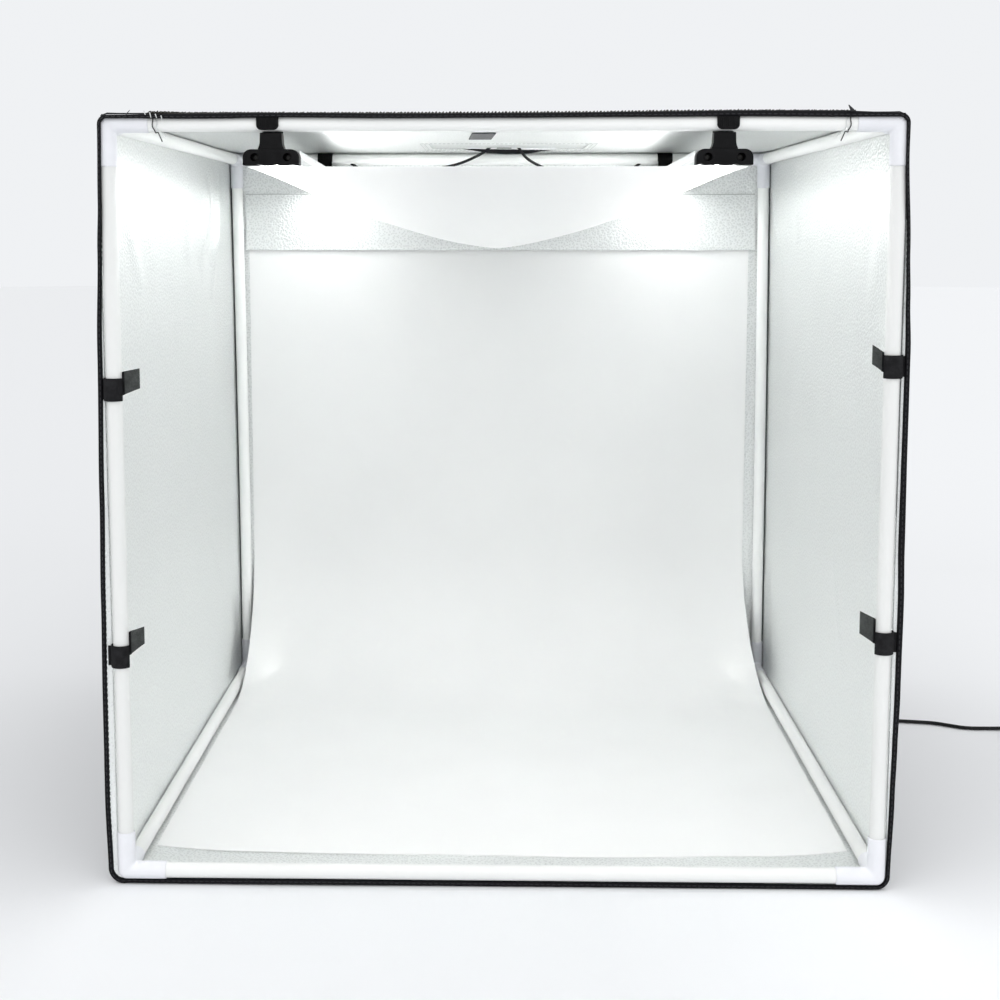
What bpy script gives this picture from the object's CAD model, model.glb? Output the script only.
"""Light tent cube: the visible pieces and finishes of a lit, open-fronted product photography tent.

Metres, +Z up, the open front faces -Y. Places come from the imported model's own nodes, so that every piece
sits where its solid is. Laid out as an add-on: properties, one operator for each group of pieces, a panel.
"""

import functools
import math

import bmesh
import bpy
from bpy.props import FloatProperty, FloatVectorProperty, PointerProperty
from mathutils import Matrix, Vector, noise


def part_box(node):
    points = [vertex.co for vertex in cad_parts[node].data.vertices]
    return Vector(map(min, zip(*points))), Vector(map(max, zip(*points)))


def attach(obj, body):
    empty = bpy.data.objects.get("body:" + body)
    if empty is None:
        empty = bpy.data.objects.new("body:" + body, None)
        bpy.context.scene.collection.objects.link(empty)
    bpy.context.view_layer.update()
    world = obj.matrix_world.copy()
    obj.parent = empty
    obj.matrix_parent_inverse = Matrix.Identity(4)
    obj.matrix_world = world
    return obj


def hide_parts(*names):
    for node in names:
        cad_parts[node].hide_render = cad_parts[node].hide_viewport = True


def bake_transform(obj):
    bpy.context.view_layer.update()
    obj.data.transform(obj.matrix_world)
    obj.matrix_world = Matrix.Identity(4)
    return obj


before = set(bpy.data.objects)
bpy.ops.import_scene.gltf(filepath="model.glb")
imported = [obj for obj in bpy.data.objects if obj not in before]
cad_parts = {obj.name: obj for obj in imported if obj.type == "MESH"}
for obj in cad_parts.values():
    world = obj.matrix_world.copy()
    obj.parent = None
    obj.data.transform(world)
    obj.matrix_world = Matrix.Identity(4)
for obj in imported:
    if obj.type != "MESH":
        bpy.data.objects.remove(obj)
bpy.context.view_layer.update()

bl_info = {
    "name": "Light Tent Cube",
    "version": (1, 0, 0),
    "blender": (4, 5, 0),
    "location": "View3D > Sidebar > Light Tent",
    "description": "Builds the visible pieces and finishes of a light tent cube",
    "category": "Add Mesh",
}

SIDES = (("left", -1), ("right", 1))
GAP = 0.0003
WELD = 1e-6
CUT = 0.001
SHARP_DEG = 35.0
HARD_EDGE_DEG = 50.0


@functools.cache
def middle(node):
    """Centre of a solid's box."""
    low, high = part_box(node)
    return (low + high) / 2


# Places and sizes read from the frame
POST = middle("post_front_right")
REAR_POST = middle("post_rear_right")
HALF, Y_FRONT, Y_REAR = POST.x, POST.y, REAR_POST.y
Z_LOW, Z_HIGH = middle("depth_rail_bottom_left").z, middle("depth_rail_top_left").z
post_low, post_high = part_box("post_front_right")
top_low, top_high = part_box("cover_top")
back_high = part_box("cover_back")[1]
binding_low, binding_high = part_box("front_edge_binding")
TUBE_RADIUS = (post_high.x - post_low.x) / 2
SKIN = back_high.x - HALF
FABRIC = top_high.z - top_low.z
INNER = SKIN - FABRIC
FLOOR_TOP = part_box("cover_floor")[1].z
ROOF = top_high.z
BACK_SKIN = back_high.y
BINDING_DEPTH = binding_high.y - binding_low.y
PANEL_FRONT = top_low.y

# How far the rear frame's top stands to the left of its foot, and how that grows with height
REAR_LEAN = 0.0036
LEAN_POWER = 1.8
# Rounding of the cover's upper front corners, and how far back it reaches
CORNER_ROUND = 0.0090
CORNER_REACH = 0.06

# Camera of the photograph's view
CAMERA_PLACE = (0.0026, -1.4664, 0.5106)
CAMERA_TURN_DEG = (83.146, 0.0, 1.255)
CAMERA_LENS_MM = 56.26
CAMERA_SHIFT = (0.030, -0.080)
FLOOR_RADIUS = 14.0
FLOOR_NEAR = 0.1
FLOOR_FAR = 0.9

# Leads: sizes and hand-laid routes
LED_LEAD_DIAMETER = 0.0030
DC_LEAD_DIAMETER = 0.0037
CORD_HEIGHT = DC_LEAD_DIAMETER / 2 + GAP
COIL_TURNS = 6.25
COIL_MIDDLE_RADIUS = 0.0222
COIL_PITCH = 0.0042
COIL_CENTRE_X = 0.5480
COIL_START_FROM_FRONT = 0.3985
COIL_POINTS_PER_TURN = 40
BEND_STEP_DEG = 5.0
EDGE_STAND_OFF = 0.0060
SLIT_SPREAD = 0.016
SLIT_FROM_REAR = 0.077
LEAD_ENTRY_SPREAD = 0.0045
# x, distance ahead of the rear rail, height against the top rail
LEAD_POINTS = {
    "left": [
        (-0.1300, 0.018, -0.0240),
        (-0.0800, 0.044, -0.0130),
        (-0.0508, 0.062, -0.0085),
        (-0.0300, 0.073, -0.0010),
    ],
    "right": [
        (0.1200, 0.016, -0.0230),
        (0.0540, 0.048, -0.0132),
        (0.0400, 0.060, -0.0092),
        (0.0260, 0.070, -0.0020),
    ],
}
# x, distance behind the back skin, height above the table
BACK_POINTS = [
    (0.006, 0.0055, 0.545),
    (0.020, 0.0040, 0.480),
    (0.045, 0.0035, 0.380),
    (0.072, 0.0035, 0.260),
    (0.096, 0.0035, 0.150),
    (0.114, 0.0045, 0.070),
    (0.135, 0.0060, 0.024),
    (0.170, 0.0085, 0.0040),
    (0.215, 0.0110, 0.0020),
    (0.262, 0.0100, 0.0020),
]
# x and distance behind the front rail, on the table
TABLE_POINTS = [
    (0.304, 0.6020),
    (0.331, 0.5680),
    (0.345, 0.5150),
    (0.360, 0.4620),
    (0.383, 0.4300),
    (0.415, 0.4205),
    (0.448, 0.4150),
    (0.466, 0.4060),
    (0.481, 0.3985),
    (0.505, 0.3975),
    (0.528, 0.3985),
]


class Wire:
    """A shader socket on which Python arithmetic adds Math nodes."""

    def __init__(self, finish, socket):
        self.finish = finish
        self.socket = socket

    def maths(self, operation, *others, first=None):
        values = (self, *others) if first is None else (first, self)
        return self.finish.node("Math", {"operation": operation}, dict(enumerate(values)))

    def __add__(self, other):
        return self.maths("ADD", other)

    def __sub__(self, other):
        return self.maths("SUBTRACT", other)

    def __rsub__(self, other):
        return self.maths("SUBTRACT", first=other)

    def __mul__(self, other):
        return self.maths("MULTIPLY", other)

    def __truediv__(self, other):
        return self.maths("DIVIDE", other)

    def __pow__(self, other):
        return self.maths("POWER", other)

    __radd__ = __add__
    __rmul__ = __mul__

    def clamp(self, low=0.0, high=1.0):
        return self.maths("MAXIMUM", low).maths("MINIMUM", high)

    def between(self, low, high):
        """0 below low, 1 above high, straight between them."""
        return ((self - low) / (high - low)).clamp()

    def sine(self, pitch):
        """A sine of this value in metres, one cycle for each pitch."""
        return (self * (2 * math.pi / pitch)).maths("SINE")


class Finish:
    """A Principled material that is wired up from expressions."""

    def __init__(self, name, **fixed):
        self.material = bpy.data.materials.new(name)
        self.material.use_nodes = True
        self.tree = self.material.node_tree
        self.shader = self.tree.nodes["Principled BSDF"]
        for key, value in fixed.items():
            self.set(key.replace("_", " ").title().replace("Ior", "IOR"), value)

    def node(self, kind, settings=None, links=None, output=0):
        """Adds a node: its settings come first, then the values or wires of its sockets."""
        made = self.tree.nodes.new("ShaderNode" + kind)
        for name, value in (settings or {}).items():
            setattr(made, name, value)
        for name, value in (links or {}).items():
            self.feed(made.inputs[name], value)
        return Wire(self, made.outputs[output])

    def feed(self, socket, value):
        if isinstance(value, Wire):
            self.tree.links.new(value.socket, socket)
        elif socket.type == "RGBA":
            socket.default_value = (*tuple(value)[:3], 1.0)
        else:
            socket.default_value = value

    def set(self, socket, value):
        self.feed(self.shader.inputs[socket], value)

    def place(self):
        """Position on the piece, in metres."""
        return self.node("TexCoord", output="Object")

    def cut(self):
        """Position on the flat cut of a sheet, in metres."""
        return self.node("TexCoord", output="UV")

    def part(self, vector, axis):
        return self.node("SeparateXYZ", None, {0: vector}, axis)

    def grain(self, size, detail=2.0, stretch=(1, 1, 1)):
        """Noise whose patches are about size metres across."""
        moved = self.node("Mapping", None, {"Vector": self.place(), "Scale": stretch})
        return self.node("TexNoise", None, {"Vector": moved, "Scale": 1 / size, "Detail": detail})

    def cells(self, size, feature="SMOOTH_F1"):
        """Rounded cells about size metres across."""
        links = {"Vector": self.place(), "Scale": 1 / size}
        return self.node("TexVoronoi", {"feature": feature}, links)

    def tint(self, share, colour, other):
        """Colour at share 0 and other at share 1."""
        links = {0: share, 6: colour, 7: other}
        return self.node("Mix", {"data_type": "RGBA"}, links, 2)

    def tones(self, share, base, low, high):
        """Varies the base colour between two tones of itself."""
        self.set("Base Color", self.tint(share, shade(base, low), shade(base, high)))

    def bump(self, height, distance, strength=1.0):
        """Feeds a height, 0 to 1, of distance metres, to the shader's normal."""
        links = {"Height": height, "Distance": distance, "Strength": strength}
        bumped = self.node("Bump", None, links)
        self.set("Normal", bumped)


def shade(colour, factor):
    """A colour made darker or lighter."""
    return tuple(min(1.0, c * factor) for c in tuple(colour)[:3])


def length_setting(name, words, value):
    return FloatProperty(name=name, description=words, default=value, unit="LENGTH")


def strength_setting(name, words, value):
    return FloatProperty(name=name, description=words, default=value, min=0.0)


def colour_setting(name, words, value):
    limits = {"min": 0.0, "max": 1.0}
    return FloatVectorProperty(name=name, description=words, default=value, subtype="COLOR", **limits)


class LightTentSizes(bpy.types.PropertyGroup):
    """Sizes of the tent's fine detail."""

    wrinkle_depth: length_setting("Wrinkle depth", "Height of the soft unevenness of every panel", 0.0016)
    pebble_size: length_setting("Pebble size", "Width of one bump in the silver lining", 0.0027)
    weave_pitch: length_setting("Weave pitch", "Distance between threads in the black cloth", 0.0011)
    stitch_length: length_setting("Stitch length", "Length of one stitch in the seams", 0.0030)
    stitch_space: length_setting("Stitch space", "Space between two stitches", 0.0014)
    hook_pitch: length_setting("Hook pitch", "Distance between hooks on the front tape", 0.0026)
    hook_height: length_setting("Hook height", "Height of one hook on the front tape", 0.0013)
    led_pitch: length_setting("LED pitch", "Distance between LEDs along a bar", 0.0080)


class LightTentColours(bpy.types.PropertyGroup):
    """Base colours of the finishes."""

    tube: colour_setting("Tube", "White plastic of the tubes", (0.84, 0.85, 0.84))
    connector: colour_setting("Connector", "Moulded plastic of the corners", (0.82, 0.83, 0.87))
    cover: colour_setting("Cover", "Black cloth outside", (0.0075, 0.0075, 0.0090))
    liner: colour_setting("Lining", "Silver lining", (0.80, 0.82, 0.812))
    hook: colour_setting("Hook tape", "Hook tape on the front edge", (0.030, 0.028, 0.022))
    patch: colour_setting("Patch", "Grey patch inside the roof", (0.065, 0.066, 0.070))
    strap: colour_setting("Strap", "Black webbing of the straps", (0.010, 0.010, 0.011))
    cap: colour_setting("Cap", "Black plastic of the bars' caps", (0.0042, 0.0042, 0.0046))
    housing: colour_setting("Housing", "Anodised bar housings", (0.76, 0.77, 0.77))
    seam: colour_setting("Seam", "Seam allowance inside the rear corners", (0.20, 0.21, 0.21))
    board: colour_setting("Board", "White LED boards", (0.86, 0.87, 0.86))
    steel: colour_setting("Steel", "Screws and pins", (0.55, 0.54, 0.52))
    diffuser: colour_setting("Diffuser", "White diffuser cloth", (0.88, 0.885, 0.885))
    backdrop: colour_setting("Backdrop", "White backdrop sheet", (0.895, 0.900, 0.895))
    lead: colour_setting("Lead", "Black leads", (0.006, 0.006, 0.0065))
    floor: colour_setting("Floor", "Pale table and background", (0.870, 0.885, 0.905))


class LightTentLight(bpy.types.PropertyGroup):
    """Strengths of the LEDs and of the studio light."""

    led: strength_setting("LEDs", "Glow of the LEDs", 6.0)
    cloth: strength_setting("Cloth", "Glow of the lit diffuser", 0.72)
    bar: strength_setting("Bars", "Power of one lit bar", 1.5)
    glow: strength_setting("Glow", "Share of a bar's light that leaves sideways", 0.068)
    world: strength_setting("World", "Soft light from all round", 0.90)
    corner: strength_setting("Corners", "Power of a rear corner's light", 0.006)
    key: strength_setting("Key", "Soft light from above the front", 0.55)


def sizes():
    return bpy.context.scene.light_tent_sizes


def colours():
    return bpy.context.scene.light_tent_colours


def light():
    return bpy.context.scene.light_tent_light


@functools.cache
def tube_finish():
    """Satin white plastic tube, a little uneven along its length."""
    base = colours().tube
    made = Finish("tube_plastic", specular_ior_level=0.45)
    streaks = made.grain(0.030, 3.0)
    place = made.place()
    height = made.part(place, 2)
    front = made.tint(height.between(0.02, 0.04), base, shade(base, 0.94))
    front = made.tint(height.between(0.575, 0.586), front, shade(base, 1.07))
    tone = made.tint(made.part(place, 1).between(-0.10, 0.29), front, shade(base, 1.12))
    made.set("Base Color", made.tint(streaks.between(0.35, 0.7) * 0.03, tone, (1.0, 1.0, 1.0)))
    made.set("Roughness", 0.34 + 0.14 * made.grain(0.012, 2.0))
    made.bump(made.grain(0.0016, 2.0), 0.00004)
    return made.material


# Finishes whose tone, roughness and bumps follow a noise. Each row holds the base colour and its tone, the
# patches' size and detail, the part of the noise that is read, the tones at its ends, the roughness and its
# spread, the height of the bumps, size and detail of their own noise if they have one, and fixed settings.
PLAIN_FINISHES = {
    # Moulded corners with a fine orange-peel surface
    "connector_plastic": (
        ("connector", 1.0), (0.016, 2.0), (0.3, 0.7), (0.97, 1.02), (0.30, 0.12),
        0.00005, (0.0011, 3.0), {"specular_ior_level": 0.5},
    ),
    # Dark screws with turning marks
    "blackened_screw": (
        ("steel", 0.14), (0.0008, 3.0), (0.35, 0.7), (0.7, 1.0), (0.35, 0.25),
        0.00003, None, {"metallic": 1.0},
    ),
    # Moulded caps with a fine spark texture
    "cap_plastic": (
        ("cap", 1.0), (0.006, 3.0), (0.4, 0.7), (1.0, 1.6), (0.36, 0.16),
        0.00006, (0.0007, 2.0), {"specular_ior_level": 0.10},
    ),
    # Silver extrusions with fine lines along them
    "anodised_housing": (
        ("housing", 1.0), (0.0012, 3.0, (1, 0.02, 1)), (0.35, 0.7), (0.94, 1.04), (0.30, 0.18),
        0.00004, None, {"metallic": 0.4, "specular_ior_level": 0.5},
    ),
    # White solder mask of the boards
    "led_board_mask": (
        ("board", 1.0), (0.010, 2.0), (0.4, 0.6), (0.95, 1.0), (0.35, 0.1),
        0.00003, (0.0012, 2.0), {"specular_ior_level": 0.5, "coat_weight": 0.2},
    ),
    # Adapter pins with turning marks
    "plated_steel": (
        ("steel", 1.0), (0.0008, 3.0), (0.35, 0.7), (0.8, 1.0), (0.25, 0.25),
        0.00003, None, {"metallic": 1.0},
    ),
    # Black rubber-like sheath of the leads
    "lead_sheath": (
        ("lead", 1.0), (0.010, 3.0), (0.4, 0.75), (1.0, 2.0), (0.42, 0.16),
        0.00004, (0.0012, 2.0), {"specular_ior_level": 0.22},
    ),
}


@functools.cache
def plain_finish(name):
    """A finish from the table."""
    (colour, tone), patches, span, tones, rough, depth, pits, fixed = PLAIN_FINISHES[name]
    base = shade(getattr(colours(), colour), tone)
    made = Finish(name, **fixed)
    patch = made.grain(*patches)
    made.tones(patch.between(*span), base, *tones)
    made.set("Roughness", rough[0] + rough[1] * patch)
    made.bump(made.grain(*pits) if pits else patch, depth)
    return made.material


@functools.cache
def liner_finish(has_cut=True):
    """Pebbled silver film on cloth."""
    base = colours().liner
    pebble = sizes().pebble_size
    made = Finish("silver_liner" if has_cut else "silver_edge", metallic=0.6, specular_ior_level=0.4)
    place = made.cut() if has_cut else made.place()
    flat = {"voronoi_dimensions": "2D"} if has_cut else {}
    wander = made.node("TexNoise", None, {"Vector": place, "Scale": 1 / (pebble * 1.7), "Detail": 0.0}, 1)
    offset = made.node("VectorMath", {"operation": "SCALE"}, {0: wander, "Scale": pebble * 0.8})
    warped = made.node("VectorMath", {"operation": "ADD"}, {0: place, 1: offset})
    cell = made.node("TexVoronoi", flat, {"Vector": warped, "Scale": 1 / pebble})
    clouds = made.node("TexNoise", None, {"Vector": place, "Scale": 8.0, "Detail": 1.0})
    height = made.part(made.place(), 2)
    tone = made.tint(height.between(0.01, 0.34), shade(base, 1.13), base)
    tone = made.tint(height.between(0.004, 0.012), shade(base, 1.03), tone)
    tone = made.tint(height.between(0.585, 0.597), tone, shade(base, 0.87))
    colour = made.tint(clouds.between(0.35, 0.68) * 0.03, tone, (1.0, 1.0, 1.0))
    low_down = 1 - height.between(0.004, 0.012)
    spots = (1 - cell.between(0.10, 0.42)) * (0.24 + 0.22 * (low_down + height.between(0.10, 0.45)))
    made.set("Base Color", made.tint(spots, colour, shade(base, 0.6)))
    made.set("Roughness", 0.34 + 0.14 * cell)
    made.bump(cell.between(0.1, 0.7), 0.00036, 0.65)
    return made.material


@functools.cache
def cover_finish():
    """Black coated cloth with a plain weave."""
    base = colours().cover
    pitch = sizes().weave_pitch
    made = Finish("black_cover_cloth", specular_ior_level=0.3, sheen_weight=0.15, sheen_roughness=0.5)
    cut = made.cut()
    across, along = made.part(cut, 0), made.part(cut, 1)
    weave = (across.sine(pitch) * along.sine(pitch) + 1) * 0.5
    wear = made.grain(0.05, 4.0)
    fuzz = made.grain(0.0022, 3.0)
    colour = made.tint(wear.between(0.35, 0.75), base, shade(base, 1.7))
    made.set("Base Color", made.tint(fuzz.between(0.62, 0.8) * 0.5, colour, shade(base, 2.6)))
    made.set("Roughness", 0.60 + 0.22 * weave)
    made.bump(weave * 0.6 + fuzz * 0.4, 0.00018, 0.8)
    return made.material


@functools.cache
def binding_finish():
    """Black woven tape, ribbed across its length, a little shiny where it is folded."""
    base = colours().cover
    made = Finish("black_binding_tape", specular_ior_level=0.10, sheen_weight=0.0)
    place = made.place()
    total = made.part(place, 0) + made.part(place, 2)
    ribs = (total.sine(0.0012) + 1) * 0.5
    fuzz = made.grain(0.0016, 3.0)
    made.set("Base Color", made.tint(fuzz.between(0.55, 0.8) * 0.6, base, shade(base, 2.2)))
    made.set("Roughness", 0.50 + 0.2 * ribs)
    made.bump(ribs * 0.5 + fuzz * 0.5, 0.00015, 0.8)
    return made.material


# Colour of a pile and width of its tufts
PILES = {
    "hook_tape": ("hook", 0.0011),
    "seam_allowance_cloth": ("seam", 0.0012),
    "grey_loop_patch": ("patch", 0.0009),
}


@functools.cache
def pile_finish(name):
    """Dense hook or loop pile."""
    colour, size = PILES[name]
    base = getattr(colours(), colour)
    made = Finish(name, specular_ior_level=0.15, sheen_weight=0.06)
    pile = made.cells(size, "F1")
    fuzz = made.grain(size * 2.5, 3.0)
    made.tones(pile.between(0.1, 0.7), base, 1.5, 0.6)
    made.set("Roughness", 0.75 + 0.15 * fuzz)
    made.bump((1 - pile) * 0.7 + fuzz * 0.3, 0.0003)
    return made.material


@functools.cache
def strap_finish():
    """Black webbing, ribbed across the strap, with a brighter brushed loop face."""
    base = colours().strap
    made = Finish("strap_webbing", specular_ior_level=0.10, sheen_weight=0.03, sheen_roughness=0.4)
    place = made.place()
    ribs = (made.part(place, 2).sine(0.0011) + 1) * 0.5
    fuzz = made.grain(0.0009, 4.0)
    worn = made.grain(0.006, 2.0)
    colour = made.tint(worn.between(0.4, 0.7), base, shade(base, 1.8))
    made.set("Base Color", made.tint(fuzz.between(0.5, 0.8) * 0.6, colour, shade(base, 2.4)))
    made.set("Roughness", 0.62 + 0.2 * fuzz)
    made.bump(ribs * 0.6 + fuzz * 0.4, 0.00022)
    return made.material


@functools.cache
def tail_finish():
    """The strap's brushed loop face, greyer than the webbing."""
    base = tuple(c * k for c, k in zip(colours().strap, (4.6, 5.0, 4.4)))
    made = Finish("strap_loop_face", specular_ior_level=0.25, sheen_weight=0.4, sheen_roughness=0.4)
    fuzz = made.grain(0.0010, 4.0)
    worn = made.grain(0.005, 2.0)
    colour = made.tint(worn.between(0.35, 0.7), shade(base, 0.8), shade(base, 1.3))
    made.set("Base Color", made.tint(fuzz.between(0.5, 0.8) * 0.6, colour, shade(base, 2.0)))
    made.set("Roughness", 0.78 + 0.15 * fuzz)
    made.bump(fuzz, 0.0003)
    return made.material


@functools.cache
def led_finish():
    """Lit LED packages."""
    made = Finish("lit_led", roughness=0.4, emission_strength=light().led)
    glow = made.cells(0.0030)
    made.set("Base Color", (0.9, 0.85, 0.6))
    made.set("Emission Color", made.tint(glow.between(0.0, 0.8), (1.0, 1.0, 0.99), (0.97, 0.99, 1.0)))
    return made.material


@functools.cache
def diffuser_finish():
    """Thin white cloth that lets the bars' light through."""
    base = colours().diffuser
    made = Finish("diffuser_cloth", specular_ior_level=0.2, emission_strength=light().cloth)
    cut = made.cut()
    across, along = made.part(cut, 0), made.part(cut, 1)
    weave = (across.sine(0.0008) * along.sine(0.0008) + 1) * 0.5
    folds = made.grain(0.05, 2.0, (1, 0.35, 1))
    made.tones(folds.between(0.35, 0.7), base, 0.97, 1.01)
    edge = made.part(made.place(), 0).maths("ABSOLUTE").between(0.03, 0.185) ** 1.6
    made.set("Emission Color", made.tint(edge, (0.24, 0.24, 0.24), (1.0, 1.0, 0.995)))
    made.set("Roughness", 0.75 + 0.1 * weave)
    made.bump(weave * 0.3 + folds * 0.7, 0.0004, 0.5)
    through = made.tree.nodes.new("ShaderNodeBsdfTranslucent")
    through.inputs["Color"].default_value = (*base, 1.0)
    mixed = made.tree.nodes.new("ShaderNodeMixShader")
    mixed.inputs[0].default_value = 0.45
    made.tree.links.new(made.shader.outputs[0], mixed.inputs[1])
    made.tree.links.new(through.outputs[0], mixed.inputs[2])
    made.tree.links.new(mixed.outputs[0], made.tree.nodes["Material Output"].inputs["Surface"])
    return made.material


@functools.cache
def backdrop_finish():
    """Matt white sheet with a barely uneven surface."""
    base = colours().backdrop
    made = Finish("backdrop_sheet", specular_ior_level=0.3)
    clouds = made.grain(0.14, 2.0)
    made.tones(clouds.between(0.35, 0.7), base, 0.985, 1.01)
    made.set("Roughness", 0.62 + 0.1 * made.grain(0.02, 2.0))
    made.bump(made.grain(0.0011, 2.0), 0.00003)
    return made.material


@functools.cache
def adapter_finish():
    """Black casing with a sparked texture and polished edges."""
    base = colours().cap
    made = Finish("adapter_casing", specular_ior_level=0.5)
    spark = made.cells(0.0009, "F1")
    clouds = made.grain(0.02, 3.0)
    made.tones(clouds.between(0.4, 0.7), base, 1.2, 2.2)
    made.set("Roughness", 0.38 + 0.2 * clouds)
    made.bump(spark, 0.00008)
    return made.material


@functools.cache
def thread_finish(dark):
    """Sewing thread, dark or silver."""
    base = shade(colours().cover, 2.0) if dark else shade(colours().liner, 0.55)
    made = Finish("dark_thread" if dark else "silver_thread", specular_ior_level=0.4)
    twist = made.grain(0.0006, 2.0)
    made.tones(twist, base, 0.8, 1.3)
    made.set("Roughness", 0.5 + 0.2 * twist)
    made.bump(twist, 0.00005)
    return made.material


def clamped(share):
    return min(1.0, max(0.0, share))


def racked(bm):
    """Leans the tent's rear a little to the left, more towards its top, as the frame stands."""
    for vert in bm.verts:
        up = (vert.co.z - Z_LOW) / (Z_HIGH - Z_LOW)
        deep = (vert.co.y - Y_FRONT) / (Y_REAR - Y_FRONT)
        vert.co.x -= REAR_LEAN * clamped(up) ** LEAN_POWER * clamped(deep)


def softened(bm):
    """Rounds the cover's upper front corners, where the binding pulls them in."""
    edge, top = HALF + SKIN - CORNER_ROUND, ROOF - CORNER_ROUND
    for vert in bm.verts:
        side, up = abs(vert.co.x) - edge, vert.co.z - top
        near = 1 - clamped((vert.co.y - PANEL_FRONT) / CORNER_REACH)
        if side > 0 and up > 0 and near > 0:
            pull = 1 - (1 - max(side, up) / math.hypot(side, up)) * near * near * (3 - 2 * near)
            vert.co.x = math.copysign(edge + side * pull, vert.co.x)
            vert.co.z = top + up * pull


def publish(name, bm, finishes, body=None, slot=None, replaces=()):
    """Turns a bmesh into a smooth-shaded piece on a body."""
    bmesh.ops.remove_doubles(bm, verts=bm.verts, dist=WELD)
    bmesh.ops.recalc_face_normals(bm, faces=bm.faces)
    if body == "tent" and not name.startswith("backdrop"):
        if not name.startswith(("binding", "front_seam", "seam_allowance")):
            softened(bm)
        racked(bm)
    mesh = bpy.data.meshes.new(name)
    bm.to_mesh(mesh)
    bm.free()
    mesh.shade_smooth()
    mesh.set_sharp_from_angle(angle=math.radians(SHARP_DEG))
    for finish in finishes:
        mesh.materials.append(finish)
    made = bpy.data.objects.new(name, mesh)
    bpy.context.collection.objects.link(made)
    if body:
        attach(made, body)
    if replaces:
        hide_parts(*replaces)
    return made


def dress(node, finish):
    """Gives a CAD node its finish."""
    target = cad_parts[node]
    target.data.materials.clear()
    target.data.materials.append(finish)


def mesh_of(thing):
    """The evaluated mesh of a throw-away object, as a bmesh."""
    bpy.context.view_layer.update()
    graph = bpy.context.evaluated_depsgraph_get()
    mesh = bpy.data.meshes.new_from_object(thing.evaluated_get(graph))
    bm = bmesh.new()
    bm.from_mesh(mesh)
    bpy.data.objects.remove(thing)
    bpy.data.meshes.remove(mesh)
    return bm


def loose(bm):
    """A throw-away object that holds a bmesh."""
    mesh = bpy.data.meshes.new("loose")
    bm.to_mesh(mesh)
    bm.free()
    made = bpy.data.objects.new("loose", mesh)
    bpy.context.collection.objects.link(made)
    return made


def combined(bm, tool, operation):
    """A bmesh joined with, or cut by, another one."""
    target, other = loose(bm), loose(tool)
    step = target.modifiers.new("shape", "BOOLEAN")
    step.operation = operation
    step.object = other
    made = mesh_of(target)
    bpy.data.objects.remove(other)
    return made


def join(bm, other):
    """Adds the faces of another bmesh."""
    mesh = bpy.data.meshes.new("joined")
    other.to_mesh(mesh)
    other.free()
    bm.from_mesh(mesh)
    bpy.data.meshes.remove(mesh)
    return bm


def rod(start, end, radius, sides=40, end_radius=None):
    """A round bar or cone."""
    bm = bmesh.new()
    start, end = Vector(start), Vector(end)
    run = end - start
    radii = {"radius1": radius, "radius2": radius if end_radius is None else end_radius}
    bmesh.ops.create_cone(bm, cap_ends=True, segments=sides, depth=run.length, **radii)
    turn = Vector((0, 0, 1)).rotation_difference(run).to_matrix()
    bmesh.ops.rotate(bm, matrix=turn, verts=bm.verts)
    bmesh.ops.translate(bm, vec=(start + end) / 2, verts=bm.verts)
    return bm


def block(low, high, bevel=0.0, segments=3):
    """A box between two corners with rounded edges."""
    bm = bmesh.new()
    low, high = Vector(low), Vector(high)
    bmesh.ops.create_cube(bm, size=1.0)
    bmesh.ops.scale(bm, vec=high - low, verts=bm.verts)
    bmesh.ops.translate(bm, vec=(low + high) / 2, verts=bm.verts)
    if bevel:
        rounded(bm, bm.edges, bevel, segments)
    return bm


def rounded(bm, edges, width, segments=3):
    """Bevels edges."""
    settings = {"profile": 0.5, "affect": "EDGES", "material": -1, "clamp_overlap": True}
    bmesh.ops.bevel(bm, geom=list(edges), offset=width, segments=segments, **settings)


def hard_edges(bm):
    """The edges where two faces meet at an angle."""
    least = math.radians(HARD_EDGE_DEG)
    return [e for e in bm.edges if len(e.link_faces) == 2 and e.calc_face_angle() > least]


def slab(outline, place, run, bevel=0.0, segments=3):
    """Extrudes an outline: place turns its (a, b) into a point, run is the extrusion."""
    bm = bmesh.new()
    face = bm.faces.new([bm.verts.new(place(a, b)) for a, b in outline])
    moved = bmesh.ops.extrude_face_region(bm, geom=[face])["geom"]
    bmesh.ops.translate(bm, vec=run, verts=[v for v in moved if isinstance(v, bmesh.types.BMVert)])
    bmesh.ops.recalc_face_normals(bm, faces=bm.faces)
    if bevel:
        rounded(bm, hard_edges(bm), bevel, segments)
    return bm


def arc(centre, radius, start_deg, end_deg, steps):
    """Points on an arc, both ends included."""
    angles = [math.radians(start_deg + (end_deg - start_deg) * i / steps) for i in range(steps + 1)]
    return [(centre[0] + radius * math.cos(a), centre[1] + radius * math.sin(a)) for a in angles]


def line_object(points, diameter, resolution=4):
    """A tube along points, as a curve."""
    data = bpy.data.curves.new("line", "CURVE")
    data.dimensions = "3D"
    data.bevel_depth = diameter / 2
    data.bevel_resolution = resolution
    data.use_fill_caps = True
    spline = data.splines.new("POLY")
    spline.points.add(len(points) - 1)
    for point, place in zip(spline.points, points):
        point.co = (*place, 1.0)
    made = bpy.data.objects.new("line", data)
    bpy.context.collection.objects.link(made)
    return made


def line_mesh(points, diameter, resolution=4):
    """A tube along points, as a bmesh."""
    return mesh_of(line_object(points, diameter, resolution))


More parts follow.
